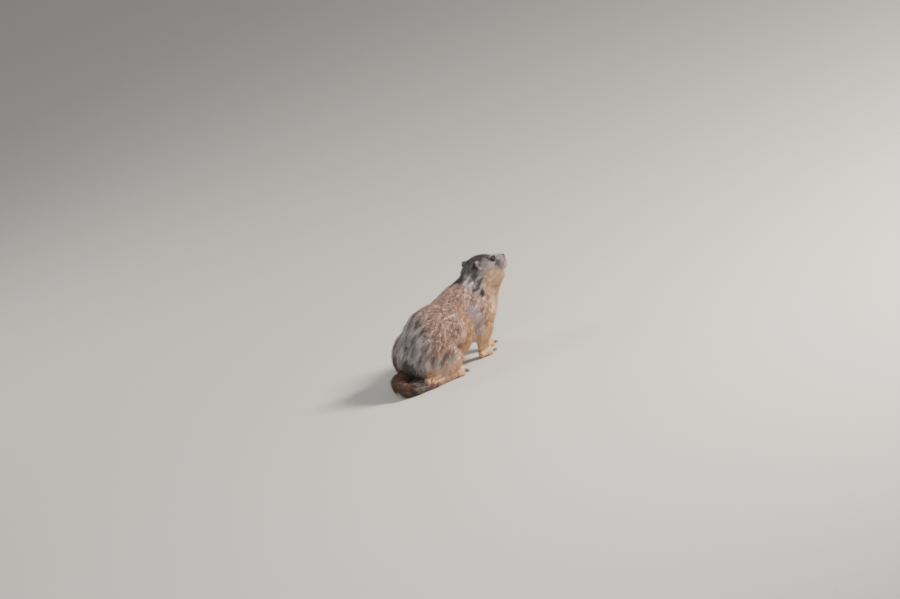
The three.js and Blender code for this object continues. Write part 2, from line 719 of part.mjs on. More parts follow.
const tailCore = meshed(blended(tailMasses()), [-40, -100, -10], [60, 30, 80], TAIL_CELL);
const tail = joinedWith(tailCore, tailLocks()).intersect(above(0)).subtract(tailRoom);
const [tailEnd, tailBase] = parted(tail, [0, TAIL_CUT, 0], [0, -1, 0]);
addPart("tail_base", tailBase, rustCoat);
addPart("tail_end", tailEnd, rustCoat);

// Head
let [head] = parted(meshed(body, [232, -62, 87], [372, 62, 240], HEAD_CELL), HEAD_CUT.at, HEAD_CUT.facing);
for (const [word, side] of Object.entries(SIDES)) {
  head = head.add(lids(side)).subtract(eyeball(side, SEAM)).subtract(earShell(side, SEAM));
  addPart(`eye_${word}`, eyeball(side, 0), wetBlack);
  addPart(`ear_${word}`, earShell(side, 0).subtract(earCup(side)), coat);
}
const noseForm = lump(NOSE, [7.8, 8.2, 6.6]);
const noseBlock = [ahead(NOSE, -14, -14, -12), ahead(NOSE, 14, 14, 12)];
let nose = meshed(noseForm, ...noseBlock, NOSE_CELL);
head = head.subtract(meshed(noseForm, ...noseBlock, NOSE_CELL, CURVED_SEAM));
for (const side of [LEFT, RIGHT])
  nose = nose.subtract(egg(ahead(NOSE, 6, side * 4, -0.5), [3.4, 1.9, 1.6], 0, side * -35, 8));
for (const line of mouthLines()) head = head.subtract(tube(line, MOUTH_LINE, 6, 4));
addPart("head", head, darkCoat);
addPart("nose", nose, wetBlack);

// The group's origin lies under the middle of the whole animal, on the floor.
const box = new THREE.Box3().setFromObject(marmot);
marmot.position.set(-(box.min.x + box.max.x) / 2, -(box.min.y + box.max.y) / 2, -box.min.z);

export default marmot;
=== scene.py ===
# %% [markdown]
# # An alpine marmot on its haunches
#
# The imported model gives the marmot's pieces at their real size, as plain facets. This lesson
# dresses them: one smooth skin over all the flesh, a coat of small tufts that lie the way
# the hair grows, wet eyes, a nose, claws and whiskers. Everything is in metres here, in the
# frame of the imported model. The named places of the body are kept in millimetres, measured
# from the rump along X and from the floor up, because a maker thinks of a marmot that way.

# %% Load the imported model
from math import pi, radians

import bmesh
import bpy
import numpy as np
from mathutils import Matrix, Vector, kdtree


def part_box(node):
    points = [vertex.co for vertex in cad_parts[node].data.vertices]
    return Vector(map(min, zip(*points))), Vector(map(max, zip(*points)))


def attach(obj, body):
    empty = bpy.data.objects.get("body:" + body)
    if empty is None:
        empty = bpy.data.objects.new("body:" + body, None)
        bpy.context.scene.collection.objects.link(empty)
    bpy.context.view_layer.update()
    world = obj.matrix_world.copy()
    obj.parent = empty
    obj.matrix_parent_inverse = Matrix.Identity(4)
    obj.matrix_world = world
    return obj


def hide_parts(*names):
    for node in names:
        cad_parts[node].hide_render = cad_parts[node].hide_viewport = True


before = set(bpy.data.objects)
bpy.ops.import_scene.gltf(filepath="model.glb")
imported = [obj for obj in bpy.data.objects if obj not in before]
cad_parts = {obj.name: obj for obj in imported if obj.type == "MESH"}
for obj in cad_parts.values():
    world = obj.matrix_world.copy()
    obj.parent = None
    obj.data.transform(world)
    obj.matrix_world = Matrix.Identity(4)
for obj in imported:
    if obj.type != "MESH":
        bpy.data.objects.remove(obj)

bpy.context.view_layer.update()

# %% [markdown]
# The body's named places. The left eye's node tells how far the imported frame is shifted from
# the maker's own measure, so every other place follows from that one offset. Sizes are the
# same values as in the solids, so that skin and solids agree.

# %% Named places and sizes
EYE = np.array([315.5, 22, 196])
EYE_RADIUS = 8
low, high = (np.array(corner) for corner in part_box("eye_left"))
SHIFT = (low + high) / 2 * 1000 - EYE

HIP = np.array([60, 0, 58])
LOIN = np.array([122, 0, 89])
BELLY = np.array([136, 0, 82])
WITHERS = np.array([203, 0, 110])
BREAST = np.array([230, 0, 112])
NAPE = np.array([240, 0, 130])
SKULL = np.array([290, 0, 180])
NOSE = np.array([354, 0, 185])
EAR = np.array([275, 27.5, 198.5])
EAR_TILT, EAR_TURN = 14, 50
HAUNCH = np.array([76, 50, 62])
KNEE = np.array([108, 64, 44])
HEEL = np.array([52, 61, 8.5])
HIND_TOES = np.array([112, 74, 8.5])
FORELEG = {
    1: {"shoulder": [246, 42, 104], "elbow": [271, 40, 68], "wrist": [253, 26, 22]},
    -1: {"shoulder": [232, 42, 104], "elbow": [223, 44, 70], "wrist": [216, 28, 22]},
}
TAIL_LINE = np.array([[26, 0, 44], [0, -2, 30], [-6, -24, 19], [4, -46, 15], [26, -60, 10]])
TAIL_RADII = [20, 18, 17.5, 15, 9]
SIDES = {"left": 1, "right": -1}


def linked(name, data):
    piece = bpy.data.objects.new(name, data)
    bpy.context.scene.collection.objects.link(piece)
    return piece


def to_metres(places):
    return (np.asarray(places, float) + SHIFT) / 1000


def to_maker(places):
    return np.asarray(places, float) * 1000 - SHIFT


print("shift of the packed frame in mm", SHIFT.round(2))

# %% [markdown]
# A soft body is easiest to describe as overlapping masses: eggs for the skull and haunches,
# tapered rods for the neck and legs. Each mass is a function that tells how far a place lies
# outside it. Blending the distances melts the masses into one form without a crease. It could
# be sculpted by hand instead, but named masses can be measured and changed one at a time.

# %% Masses and how they melt together
def step(low, high, value):
    share = np.clip((value - low) / (high - low), 0, 1)
    return share * share * (3 - 2 * share)


def mix(a, b, share):
    return a + (b - a) * share


def on_side(side, place):
    return np.array([place[0], side * place[1], place[2]], float)


def lump(centre, radii, pitch=0, yaw=0):
    turn = np.array(Matrix.Rotation(radians(yaw), 3, "Z") @ Matrix.Rotation(radians(-pitch), 3, "Y"))
    centre, radii = np.array(centre, float), np.array(radii, float)

    def outside(places):
        local = (places - centre) @ turn / radii
        far = np.sqrt((local**2).sum(1))
        slope = np.sqrt(((local / radii) ** 2).sum(1))
        return far * (far - 1) / np.maximum(slope, 1e-9)

    return outside


def limb(a, b, radius_a, radius_b, wide=1.0):
    a, b = np.array(a, float), np.array(b, float)
    along = b - a

    def outside(places):
        away = places - a
        share = np.clip(away @ along / (along @ along), 0, 1)
        rest = away - share[:, None] * along
        rest[:, 1] /= wide
        return np.sqrt((rest**2).sum(1)) - radius_a - share * (radius_b - radius_a)

    return outside


def union(a, b, melt):
    overlap = np.maximum(melt - np.abs(a - b), 0) / melt
    return np.minimum(a, b) - overlap**2 * melt / 4


def carved(a, b, melt):
    return -union(-a, b, melt)


def blended(masses):
    def outside(places):
        near = np.full(len(places), 1e6)
        for melt, form in masses:
            near = union(near, form(places), melt)
        return near

    return outside


# %% [markdown]
# The masses of the trunk, legs, head, feet and tail repeat those of the solids. They reach
# out to the tips of the coat, so they also tell where each tuft of hair has to end.

# %% The body out to the tips of its coat
def haunch_masses(side):
    thigh, knee = on_side(side, HAUNCH + [4, 4, -2]), on_side(side, KNEE)
    return [
        (22, lump(on_side(side, HAUNCH), [54, 33, 52], 0, side * 18)),
        (20, limb(thigh, knee, 38, 30)),
        (16, limb(on_side(side, KNEE + [-8, 2, -10]), on_side(side, HEEL + [-4, -1, 13]), 24, 16)),
    ]


def foreleg_masses(side):
    shoulder, elbow, wrist = (on_side(side, place) for place in FORELEG[side].values())
    return [(22, limb(shoulder, elbow, 35, 23)), (14, limb(elbow, wrist, 22, 12.5))]


def head_masses():
    masses = [
        (16, lump(SKULL + [-1, 0, 0], [39, 33, 28])),
        (12, limb(SKULL + [10, 0, 6], SKULL + [53, 0, 4.5], 24, 12.5, 1.15)),
        (12, limb(SKULL + [28, 0, -8], SKULL + [50, 0, -7], 23, 16, 1.1)),
        (12, limb(SKULL + [10, 0, -24], SKULL + [44, 0, -20], 20, 11, 1.1)),
        (22, limb(SKULL + [32, 0, -29], SKULL + [-14, 0, -74], 9, 15, 2)),
        (8, lump(NOSE + [-6, 0, -1], [8, 8.5, 7])),
        (8, lump(NOSE + [-17.5, 0, -27.5], [10.5, 10, 9])),
    ]
    for side in (1, -1):
        masses.append((12, lump(SKULL + [-2, side * 16, 10], [32, 17, 17])))
        masses.append((14, lump(SKULL + [12, side * 24, -17], [31, 19, 22])))
        masses.append((6, lump(NOSE + [-9.5, side * 10, -12], [13, 10, 11])))
        masses.append((7, lump(SKULL + [26, side * 18, 20], [14, 8, 6])))
    return masses


trunk_masses = [
    (1, limb(HIP, LOIN, 50, 66)),
    (20, limb(LOIN, WITHERS, 66, 58)),
    (20, limb(WITHERS, BREAST, 58, 52, 1.04)),
    (26, lump(BELLY, [78, 80, 56])),
    (24, lump(BREAST + [4, 0, -14], [50, 47, 48])),
    (26, limb(NAPE, SKULL + [0, 0, -15], 52, 41, 0.88)),
]
body = blended(
    trunk_masses + haunch_masses(1) + haunch_masses(-1) + foreleg_masses(1) + foreleg_masses(-1) + head_masses()
)


def toes(side, root, count, spread, length):
    places = []
    for i in range(count):
        fan = (i / (count - 1) - 0.5) * 2
        start = np.array([root[0] - abs(fan) * 4, side * (root[1] + fan * spread), root[2] - 1])
        end = np.array([start[0] + length - abs(fan) * 4, side * (root[1] + fan * spread * 1.35), 6])
        places.append((start, end))
    return places


hind_toes = {side: toes(side, HIND_TOES, 5, 11, 14) for side in (1, -1)}
fore_toes = {side: toes(side, np.array(FORELEG[side]["wrist"]) + [8, 0, -13], 4, 8, 12) for side in (1, -1)}


def foot_masses(side, slim):
    heel, front = on_side(side, HEEL), on_side(side, HIND_TOES)
    wrist = on_side(side, FORELEG[side]["wrist"])
    hind = [(1, limb(heel, front, 10, 9.5, 1.3))]
    fore = [
        (1, limb(wrist + [0, 0, 3], wrist + [8, 0, -11], 12, 10, 1.1)),
        (6, limb(wrist + [-7, 0, -12], wrist + [10, 0, -12], 9.5, 9.5, 1.1)),
    ]
    hind += [(3 * slim, limb(a, b, 6.8 * slim, 5.2 * slim)) for a, b in hind_toes[side]]
    fore += [(3 * slim, limb(a, b, 6.2 * slim, 5.2 * slim)) for a, b in fore_toes[side]]
    return blended(hind), blended(fore)


feet = [form for side in (1, -1) for form in foot_masses(side, 1.0)]
bare_feet = [form for side in (1, -1) for form in foot_masses(side, 0.62)]


def tail_form(share):
    joints = zip(TAIL_LINE[:-1], TAIL_LINE[1:], TAIL_RADII[:-1], TAIL_RADII[1:])
    return blended([(10, limb(a, b, ra * share, rb * share)) for a, b, ra, rb in joints])


tail_hair, tail_core = tail_form(1.0), tail_form(0.42)


def all_feet(places, forms=feet):
    return np.min([foot(places) for foot in forms], axis=0)


def coat_tips(places):
    return np.min([body(places), all_feet(places), tail_hair(places)], axis=0)


print("body masses", len(trunk_masses) + 2 * 3 + 2 * 2 + len(head_masses()))

# %% [markdown]
# The skin lies inside the tips of the coat by the depth of the hair, which is deepest on the
# back, thin on the legs and almost nothing on the muzzle and feet. The ears, the lids round
# each eye and the line of the mouth belong to the skin and not to the hair.

# %% The skin under the coat
def head_share(places):
    return ((places[:, 0] - 262) * 0.93 + (places[:, 2] - 165) * 0.37) / 95


def coat_depth(places):
    x, z = places[:, 0], places[:, 2]
    head = head_share(places)
    depth = mix(11.0, 6.5, step(-0.4, 0.1, head))
    depth = mix(depth, 2.0, step(0.15, 0.85, head))
    foreleg = step(88, 50, z) * step(190, 210, x)
    return mix(depth, 4.5, foreleg)


GAZE = {side: np.array([0.42, side * 0.88, 0.22]) for side in (1, -1)}


def near_eye(places, side):
    """Distances in the eye's own directions: along the lids, up across them, and outwards."""
    gaze = GAZE[side] / np.linalg.norm(GAZE[side])
    along = np.cross([0, 0, 1.0], gaze)
    along /= np.linalg.norm(along)
    away = places - on_side(side, EYE)
    return away @ along, away @ np.cross(gaze, along), away @ gaze


def lips():
    lines = []
    for side in (1, -1):
        corners = [[-4, side, -19], [-9, side * 9, -21], [-19, side * 15, -23.5], [-27, side * 18, -24.5]]
        lines.append([NOSE + corner for corner in corners])
    lines.append([NOSE + [2, 0, -6], NOSE + [0, 0, -12], NOSE + [-5, 0, -19]])
    return lines


LIPS = lips()


def skin(places):
    form = body(places) + coat_depth(places)
    for side in (1, -1):
        ear = lump(on_side(side, EAR), [5.0, 8.5, 9.5], EAR_TILT, side * EAR_TURN)(places)
        cup = lump(on_side(side, EAR + [3.8, 4.6, 1.4]), [4.4, 6.4, 7.4], EAR_TILT, side * EAR_TURN)(places)
        form = union(form, carved(ear, cup, 1.2), 4)
        along, up, out = near_eye(places, side)
        ball = np.sqrt(along**2 + up**2 + out**2)
        form = union(form, ball - EYE_RADIUS - 1.5, 5)
        opening = np.sqrt((along / 7.9) ** 2 + (up / 5.3) ** 2 + ((out - 7.5) / 7) ** 2)
        form = carved(form, (opening - 1) * 5, 1)
    form = union(form, all_feet(places, bare_feet) + 0.6, 5)
    form = union(form, tail_core(places), 8)
    return form


def onto(field, places, rounds=4):
    """Moves places onto a form's surface, and gives the way out of the form there."""
    places = np.array(places, float)
    for turn in range(rounds + 1):
        probe = 0.2
        slope = np.stack(
            [(field(places + d) - field(places - d)) / (2 * probe) for d in np.eye(3) * probe], axis=1
        )
        steep = np.maximum((slope**2).sum(1), 0.1)
        if turn < rounds:
            places -= slope * np.clip(field(places) / steep, -6, 6)[:, None]
    return places, slope / np.sqrt(steep)[:, None]


lip_paths = [onto(skin, line)[0] for line in LIPS]


def skin_with_mouth(places):
    form = skin(places)
    for path in lip_paths:
        for a, b in zip(path[:-1], path[1:]):
            form = carved(form, limb(a, b, 0.8, 0.8)(places), 1.0)
    return form


print("lip lines", len(lip_paths), "coat depth on the back 11 mm, on the nose 2 mm")

# %% [markdown]
# To turn the form into a mesh, space is divided into cells. Each cell that the surface
# crosses gets one corner, and neighbours are joined. Blender's metaballs could do it too, but
# their cells are all alike, and here the head needs finer ones than the back.

# %% From a form to a mesh
def sampled(field, xs, ys, zs, block=12):
    values = np.full((len(xs), len(ys), len(zs)), 50.0)
    for i in range(0, len(xs), block):
        for j in range(0, len(ys), block):
            for k in range(0, len(zs), block):
                parts = xs[i : i + block], ys[j : j + block], zs[k : k + block]
                middle = np.array([[(part[0] + part[-1]) / 2 for part in parts]])
                reach = np.linalg.norm([part[-1] - part[0] for part in parts]) / 2
                value = field(middle)[0]
                here = tuple(slice(n, n + block) for n in (i, j, k))
                if abs(value) > reach * 1.6 + 14:
                    values[here] = value
                    continue
                grid = np.stack(np.meshgrid(*parts, indexing="ij"), axis=-1)
                values[here] = field(grid.reshape(-1, 3)).reshape(grid.shape[:3])
    return values


def meshed(field, xs, ys, zs):
    values = sampled(field, xs, ys, zs)
    inside = values < 0
    axes = (xs, ys, zs)
    corners = [(a, b, c) for a in (0, 1) for b in (0, 1) for c in (0, 1)]
    count = sum(inside[a : a - 1 or None, b : b - 1 or None, c : c - 1 or None].astype(int) for a, b, c in corners)
    cells = np.argwhere((count > 0) & (count < 8))
    total, crossings = np.zeros((len(cells), 3)), np.zeros(len(cells))
    for a in corners:
        for axis in range(3):
            if a[axis]:
                continue
            b = tuple(v + (n == axis) for n, v in enumerate(a))
            ia, ib = cells + a, cells + b
            va, vb = values[tuple(ia.T)], values[tuple(ib.T)]
            crossed = (va < 0) != (vb < 0)
            share = np.where(crossed, va / np.where(crossed, va - vb, 1), 0)[:, None]
            pa = np.stack([axes[n][ia[:, n]] for n in range(3)], axis=1)
            pb = np.stack([axes[n][ib[:, n]] for n in range(3)], axis=1)
            total += np.where(crossed[:, None], pa + share * (pb - pa), 0)
            crossings += crossed
    places = total / crossings[:, None]
    number = np.full(values.shape, -1)
    number[tuple(cells.T)] = np.arange(len(cells))
    faces = []
    for axis in range(3):
        here = [slice(1, -1)] * 3
        ahead = list(here)
        here[axis], ahead[axis] = slice(0, -1), slice(1, None)
        crossed = inside[tuple(here)] != inside[tuple(ahead)]
        starts = np.argwhere(crossed) + [int(n != axis) for n in range(3)]
        leaving = inside[tuple(starts.T)]
        u, v = [np.eye(3, dtype=int)[(axis + n) % 3] for n in (1, 2)]
        ring = np.stack([number[tuple((starts - d).T)] for d in (u + v, v, 0 * u, u)], axis=1)
        faces.append(np.where(leaving[:, None], ring, ring[:, ::-1]))
    places = onto(field, places, 2)[0]
    return places, np.concatenate(faces)


def new_piece(name, places, faces, smooth=True):
    mesh = bpy.data.meshes.new(name)
    faces = np.asarray(faces)
    mesh.vertices.add(len(places))
    mesh.vertices.foreach_set("co", to_metres(places).astype(np.float32).ravel())
    sides = faces.shape[1]
    mesh.loops.add(faces.size)
    mesh.loops.foreach_set("vertex_index", faces.astype(np.int32).ravel())
    mesh.polygons.add(len(faces))
    mesh.polygons.foreach_set("loop_start", np.arange(0, faces.size, sides, dtype=np.int32))
    mesh.update(calc_edges=True)
    mesh.polygons.foreach_set("use_smooth", np.full(len(faces), smooth))
    return linked(name, mesh)


def spaced(*stretches):
    """Grid lines with a step of their own in each stretch."""
    lines = [stretches[0][0]]
    for start, end, gap in stretches:
        lines += list(np.linspace(start, end, int(round((end - start) / gap)) + 1)[1:])
    return np.array(lines)


coarse = 1
places, quads = meshed(
    skin_with_mouth,
    spaced(
        (-34, 102, 2.7 * coarse), (102, 132, 1.4 * coarse), (132, 212, 2.7 * coarse), (212, 262, 1.7 * coarse),
        (262, 370, 1.2 * coarse),
    ),
    spaced(
        (-106, -92, 2.6 * coarse), (-92, -56, 1.5 * coarse), (-56, -44, 2.4 * coarse), (-44, 44, 1.4 * coarse),
        (44, 56, 2.4 * coarse), (56, 92, 1.5 * coarse), (92, 106, 2.6 * coarse),
    ),
    spaced((-6, 20, 1.5 * coarse), (20, 140, 2.7 * coarse), (140, 226, 1.25 * coarse)),
)
places[:, 2] = np.maximum(places[:, 2], 0)
skin_piece = new_piece("skin", places, quads)
print("skin corners", len(places), "faces", len(quads))

# %% [markdown]
# The coat's colours have to match on skin and tufts, and survive an export that bakes them.
# So the skin is unwrapped once, and every tuft later gets a small patch of that unwrap at
# its root. The unwrap follows the skin's own shape, cut where the surface turns sharply.

# %% Unwrap the skin
def unwrapped(piece):
    bpy.context.view_layer.objects.active = piece
    piece.select_set(True)
    piece.data.uv_layers.new(name="OFBake")
    bpy.ops.object.mode_set(mode="EDIT")
    bpy.ops.mesh.select_all(action="SELECT")
    bpy.ops.uv.smart_project(angle_limit=radians(70), island_margin=0.004)
    bpy.ops.object.mode_set(mode="OBJECT")
    piece.select_set(False)
    patch = np.zeros(len(piece.data.loops) * 2, np.float32)
    piece.data.uv_layers["OFBake"].data.foreach_get("uv", patch)
    return patch.reshape(-1, 4, 2)


corner_uv = unwrapped(skin_piece)
print("unwrap spans", corner_uv.min().round(3), "to", corner_uv.max().round(3))

# %% [markdown]
# Fur is made of tufts that stand on the skin, one root each. Roots are picked by chance but
# evenly: the skin's area, weighted by how dense the hair is there, is cut into equal shares
# with one root in each. The random numbers have a fixed seed, so every run gives this marmot.

# %% Pick the roots of the tufts
random = np.random.default_rng(29)
corners = places[quads]
quad_area = (
    np.linalg.norm(np.cross(corners[:, 1] - corners[:, 0], corners[:, 2] - corners[:, 0]), axis=1)
    + np.linalg.norm(np.cross(corners[:, 2] - corners[:, 0], corners[:, 3] - corners[:, 0]), axis=1)
) / 2
middles = corners.mean(axis=1)


def near_tail(at):
    return step(8, 2, tail_core(at)) * step(1, 5, body(at) + 12)


def foreleg_share(at):
    return step(95, 62, at[:, 2]) * step(188, 208, at[:, 0])


def foot_share(at):
    return step(3.5, 1.0, all_feet(at)) * step(34, 20, at[:, 2]) * step(-8, -4, body(at))


def hem_share(at):
    """One on the low edge of the haunches, where long hair hangs over the feet."""
    x, y, z = at.T
    return step(52, 36, z) * step(12, 20, z) * step(34, 52, np.abs(y)) * step(126, 108, x) * step(20, 34, x)


def tail_run(at):
    return step(14, 48, np.linalg.norm(at - TAIL_LINE[0], axis=1))


def crown_share(at):
    return spot(at, [276, 0, 212], [44, 34, 26], 0.6)


def spot(at, centre, radii, soft=0.5):
    away = np.sqrt((((at - centre) / np.array(radii, float)) ** 2).sum(1))
    return step(1 + soft / 2, 1 - soft / 2, away)


def both(at, centre, radii, soft=0.5):
    return np.maximum(spot(at, centre, radii, soft), spot(at, on_side(-1, centre), radii, soft))


def bare(at):
    """One where no tuft grows: the eyeball and its rims, the nose, the lips and the soles."""
    none = at[:, 2] < 1.5
    for side in (1, -1):
        along, up, out = near_eye(at, side)
        none |= (np.sqrt((along / 9.2) ** 2 + (up / 6.8) ** 2) < 1) & (out > -3)
    none |= np.linalg.norm((at - NOSE) / [9.4, 9.4, 7.8], axis=1) < 1
    for path in lip_paths:
        for a, b in zip(path[:-1], path[1:]):
            none |= limb(a, b, 1.1, 1.1)(at) < 0
    return none


def density(at):
    head = head_share(at)
    many = mix(1.0, 2.7, step(-0.15, 0.5, head))
    many = mix(many, 1.5, foreleg_share(at))
    many = mix(many, 1.9, foot_share(at))
    many = mix(many, 1.5, near_tail(at))
    underside = step(30, 16, at[:, 2]) * step(45, 30, np.abs(at[:, 1])) * step(200, 170, at[:, 0])
    return many * np.where(bare(at), 0, 1) * mix(1.0, 0.35, underside)


FULL_COAT = 136000
TUFTS = FULL_COAT
weight = quad_area * density(middles)
total = np.cumsum(weight)
picked = np.searchsorted(total, (np.arange(TUFTS) + random.random(TUFTS)) / TUFTS * total[-1])
picked = np.minimum(picked, len(quads) - 1)
u, v = random.random((2, TUFTS))[:, :, None]


def within(quad_corners):
    top = mix(quad_corners[:, 0], quad_corners[:, 1], u)
    bottom = mix(quad_corners[:, 3], quad_corners[:, 2], u)
    return mix(top, bottom, v)


roots = within(corners[picked])
root_uv = within(corner_uv[picked])
flat = np.cross(corners[:, 2] - corners[:, 0], corners[:, 3] - corners[:, 1])
flat /= np.maximum(np.linalg.norm(flat, axis=1, keepdims=True), 1e-9)
out = flat[picked]
print("skin area in cm2", round(quad_area.sum() / 100), "tufts", TUFTS)

# %% [markdown]
# Hair grows in a stream. It parts at the nose, runs back over the head and down the body,
# hangs from the haunches and belly, runs down the legs and forward on the feet, and follows
# the tail to its tip. Each root reads its direction from this stream, laid flat on the skin.

# %% The lie of the hair
def unit(vectors):
    return vectors / np.maximum(np.linalg.norm(vectors, axis=1, keepdims=True), 1e-9)


def tail_direction(at):
    best, direction = np.full(len(at), 1e9), np.zeros((len(at), 3))
    for a, b in zip(TAIL_LINE[:-1], TAIL_LINE[1:]):
        away = limb(a, b, 0, 0)(at)
        closer = away < best
        best = np.where(closer, away, best)
        direction = np.where(closer[:, None], (b - a) / np.linalg.norm(b - a), direction)
    return direction


def lie_of_hair(at, out):
    x, y, z = at.T
    hang = step(75, 35, z) * step(150, 120, x)
    lie = np.stack([-np.ones(len(at)), 0 * x, -0.42 - 0.4 * np.abs(out[:, 1]) - 1.1 * hang], axis=1)
    belly = step(-0.2, -0.7, out[:, 2]) * step(150, 190, x)
    lie = mix(lie, np.array([-0.5, 0, -0.9]), belly[:, None])
    from_nose = unit(at - (NOSE + [8, 0, -3]))
    lie = mix(unit(lie), from_nose, step(-0.2, 0.25, head_share(at))[:, None])
    lie = mix(lie, np.array([-0.25, 0, -1.0]), foreleg_share(at)[:, None])
    lie = mix(lie, np.array([1.0, 0, -0.35]), foot_share(at)[:, None])
    lie = mix(lie, tail_direction(at) * 1.4, near_tail(at)[:, None])
    lie -= out * (lie * out).sum(1, keepdims=True)
    return unit(lie)


lie = lie_of_hair(roots, out)
print("mean direction on the back", lie[roots[:, 2] > 150].mean(axis=0).round(2))

# %% [markdown]
# A tuft is as long as the hair of its place: a few millimetres on the nose, two centimetres
# on the back and over four on the tail. Neighbours lean together into locks, as they do on
# a real coat, so each tuft bends towards the tip of the nearest lock. The tips are then
# brought to the surface where the coat ends, some a little below it, which gives it depth.

# %% Length, width and tips of the tufts
def patches(at, size, seed):
    """Soft random values from 0 to 1, which change over the given size in millimetres."""
    cells = at / size
    base = np.floor(cells).astype(np.int64)
    share = cells - base
    share = share * share * (3 - 2 * share)
    total = np.zeros(len(at))
    for corner in np.ndindex(2, 2, 2):
        key = (base + corner) @ np.array([73856093, 19349663, 83492791]) + seed * 7919
        key = ((key ^ (key >> 13)) * 1274126177) & 0x7FFFFFFF
        key = ((key ^ (key >> 11)) * 668265263) & 0x7FFFFFFF
        total += key / 0x7FFFFFFF * np.prod(np.where(corner, share, 1 - share), axis=1)
    return total


def hair_length(at):
    x, y, z = at.T
    head = head_share(at)
    length = mix(17.0, 23.0, step(150, 90, x))
    length = mix(length, 14.0, step(-0.6, -0.1, head))
    length = mix(length, 9.0, step(-0.1, 0.25, head))
    length = mix(length, 3.0, step(0.3, 0.8, head))
    length = mix(length, 10.0, 0.8 * crown_share(at))
    length = mix(length, 10.0, foreleg_share(at))
    length = mix(length, 5.0, foot_share(at))
    length = mix(length, 27.0, hem_share(at))
    length = mix(length, mix(20.0, 38.0, tail_run(at)), near_tail(at))
    for side in (1, -1):
        ear = np.linalg.norm(at - on_side(side, EAR), axis=1)
        length = mix(length, 4.2, step(13, 10, ear))
    return length


length = hair_length(roots) * random.uniform(0.75, 1.2, TUFTS)
width = np.clip(length * 0.105, 0.7, 2.4) * (TUFTS / FULL_COAT) ** -0.5
across = np.cross(lie, out)
sway = random.normal(0, 0.16, (TUFTS, 1))
lie = unit(lie + across * sway)
tips = roots + lie * length[:, None]

TUFTS_IN_LOCK = 26
LOCKS = TUFTS // TUFTS_IN_LOCK + 1
lock_of = kdtree.KDTree(LOCKS)
for n in range(0, TUFTS, TUFTS_IN_LOCK):
    lock_of.insert(roots[n], n)
lock_of.balance()
lock = np.array([lock_of.find(root)[1] for root in roots])
gather = mix(0.42, 0.15, step(0.0, 0.5, head_share(roots)))
gather = mix(gather, 0.1, foot_share(roots)) * random.uniform(0.5, 1.3, TUFTS)
near = step(24, 12, np.linalg.norm(roots - roots[lock], axis=1))
lock_tips = roots + (tips[lock] - roots[lock]) + (roots[lock] - roots) * 0.9
tips = mix(tips, lock_tips, (gather * near)[:, None])


def onto_coat(at, below):
    """Brings tips to the outside of the coat, or as many millimetres below it as told."""
    for _ in range(2):
        value = coat_tips(at)
        slope = np.stack([(coat_tips(at + d) - value) / 0.3 for d in np.eye(3) * 0.3], axis=1)
        steep = np.maximum((slope**2).sum(1), 0.3)
        at = at - slope * np.clip((value + below) / steep, -8, 14)[:, None]
    return at


depth = np.maximum(-coat_tips(roots), 0.4)
below = depth * random.beta(1.1, 2.6, TUFTS) * 0.75 - random.random(TUFTS) ** 3 * np.minimum(1.6, depth * 0.25)
guard = random.random(TUFTS) < 0.08
below = np.where(guard, -random.uniform(0.2, 1, TUFTS) * np.clip(depth * 0.6, 0.5, 3.2), below)
loose = (near_tail(roots) > 0.5) & (random.random(TUFTS) < 0.3)
below = np.where(loose, -random.uniform(0, 7, TUFTS), below)
ears = np.min([np.linalg.norm(roots - on_side(side, EAR), axis=1) for side in (1, -1)], axis=0) < 12
lifted = roots + lie * length[:, None] + out * (1.0 + 0.8 * random.random(TUFTS))[:, None]
hanging = roots + lie * length[:, None] + out * (depth * random.uniform(0.5, 1.0, TUFTS))[:, None]
on_coat = onto_coat(tips, below)
on_coat = mix(on_coat, hanging, (0.75 * hem_share(roots))[:, None])
tips = np.where(ears[:, None], lifted, on_coat)
tips[:, 2] = np.maximum(tips[:, 2], 0.3)
print("locks", LOCKS, "hair from", length.min().round(1), "to", length.max().round(1), "mm")

# %% [markdown]
# The markings are soft fields over the body, such as a dark cap on the crown or a warm band
# on the flank. Some dark and pale fields are painted shade and light: shade in the hollow
# between haunch and rump, on the back of the rump and in the ear cups, the shadow of the head
# on the dark nape and of each ear on the neck, and sunlight on the front of the ear rims. Skin
# and tufts read the same fields at the same places. They are stored as masks, and the colours
# themselves stay in the material, where they are easy to change.

# %% Markings
def streaks(at, lie, seed, size=4.2, reach=15):
    """Soft random values drawn out along the hair, as where dark underfur shows between locks."""
    total = np.mean([patches(at + lie * reach * share, size, seed) for share in np.linspace(-0.5, 0.5, 7)], axis=0)
    return np.clip((total - 0.5) * 2.6 + 0.5, 0, 1)


def most_of(*shares):
    return np.max(shares, axis=0)


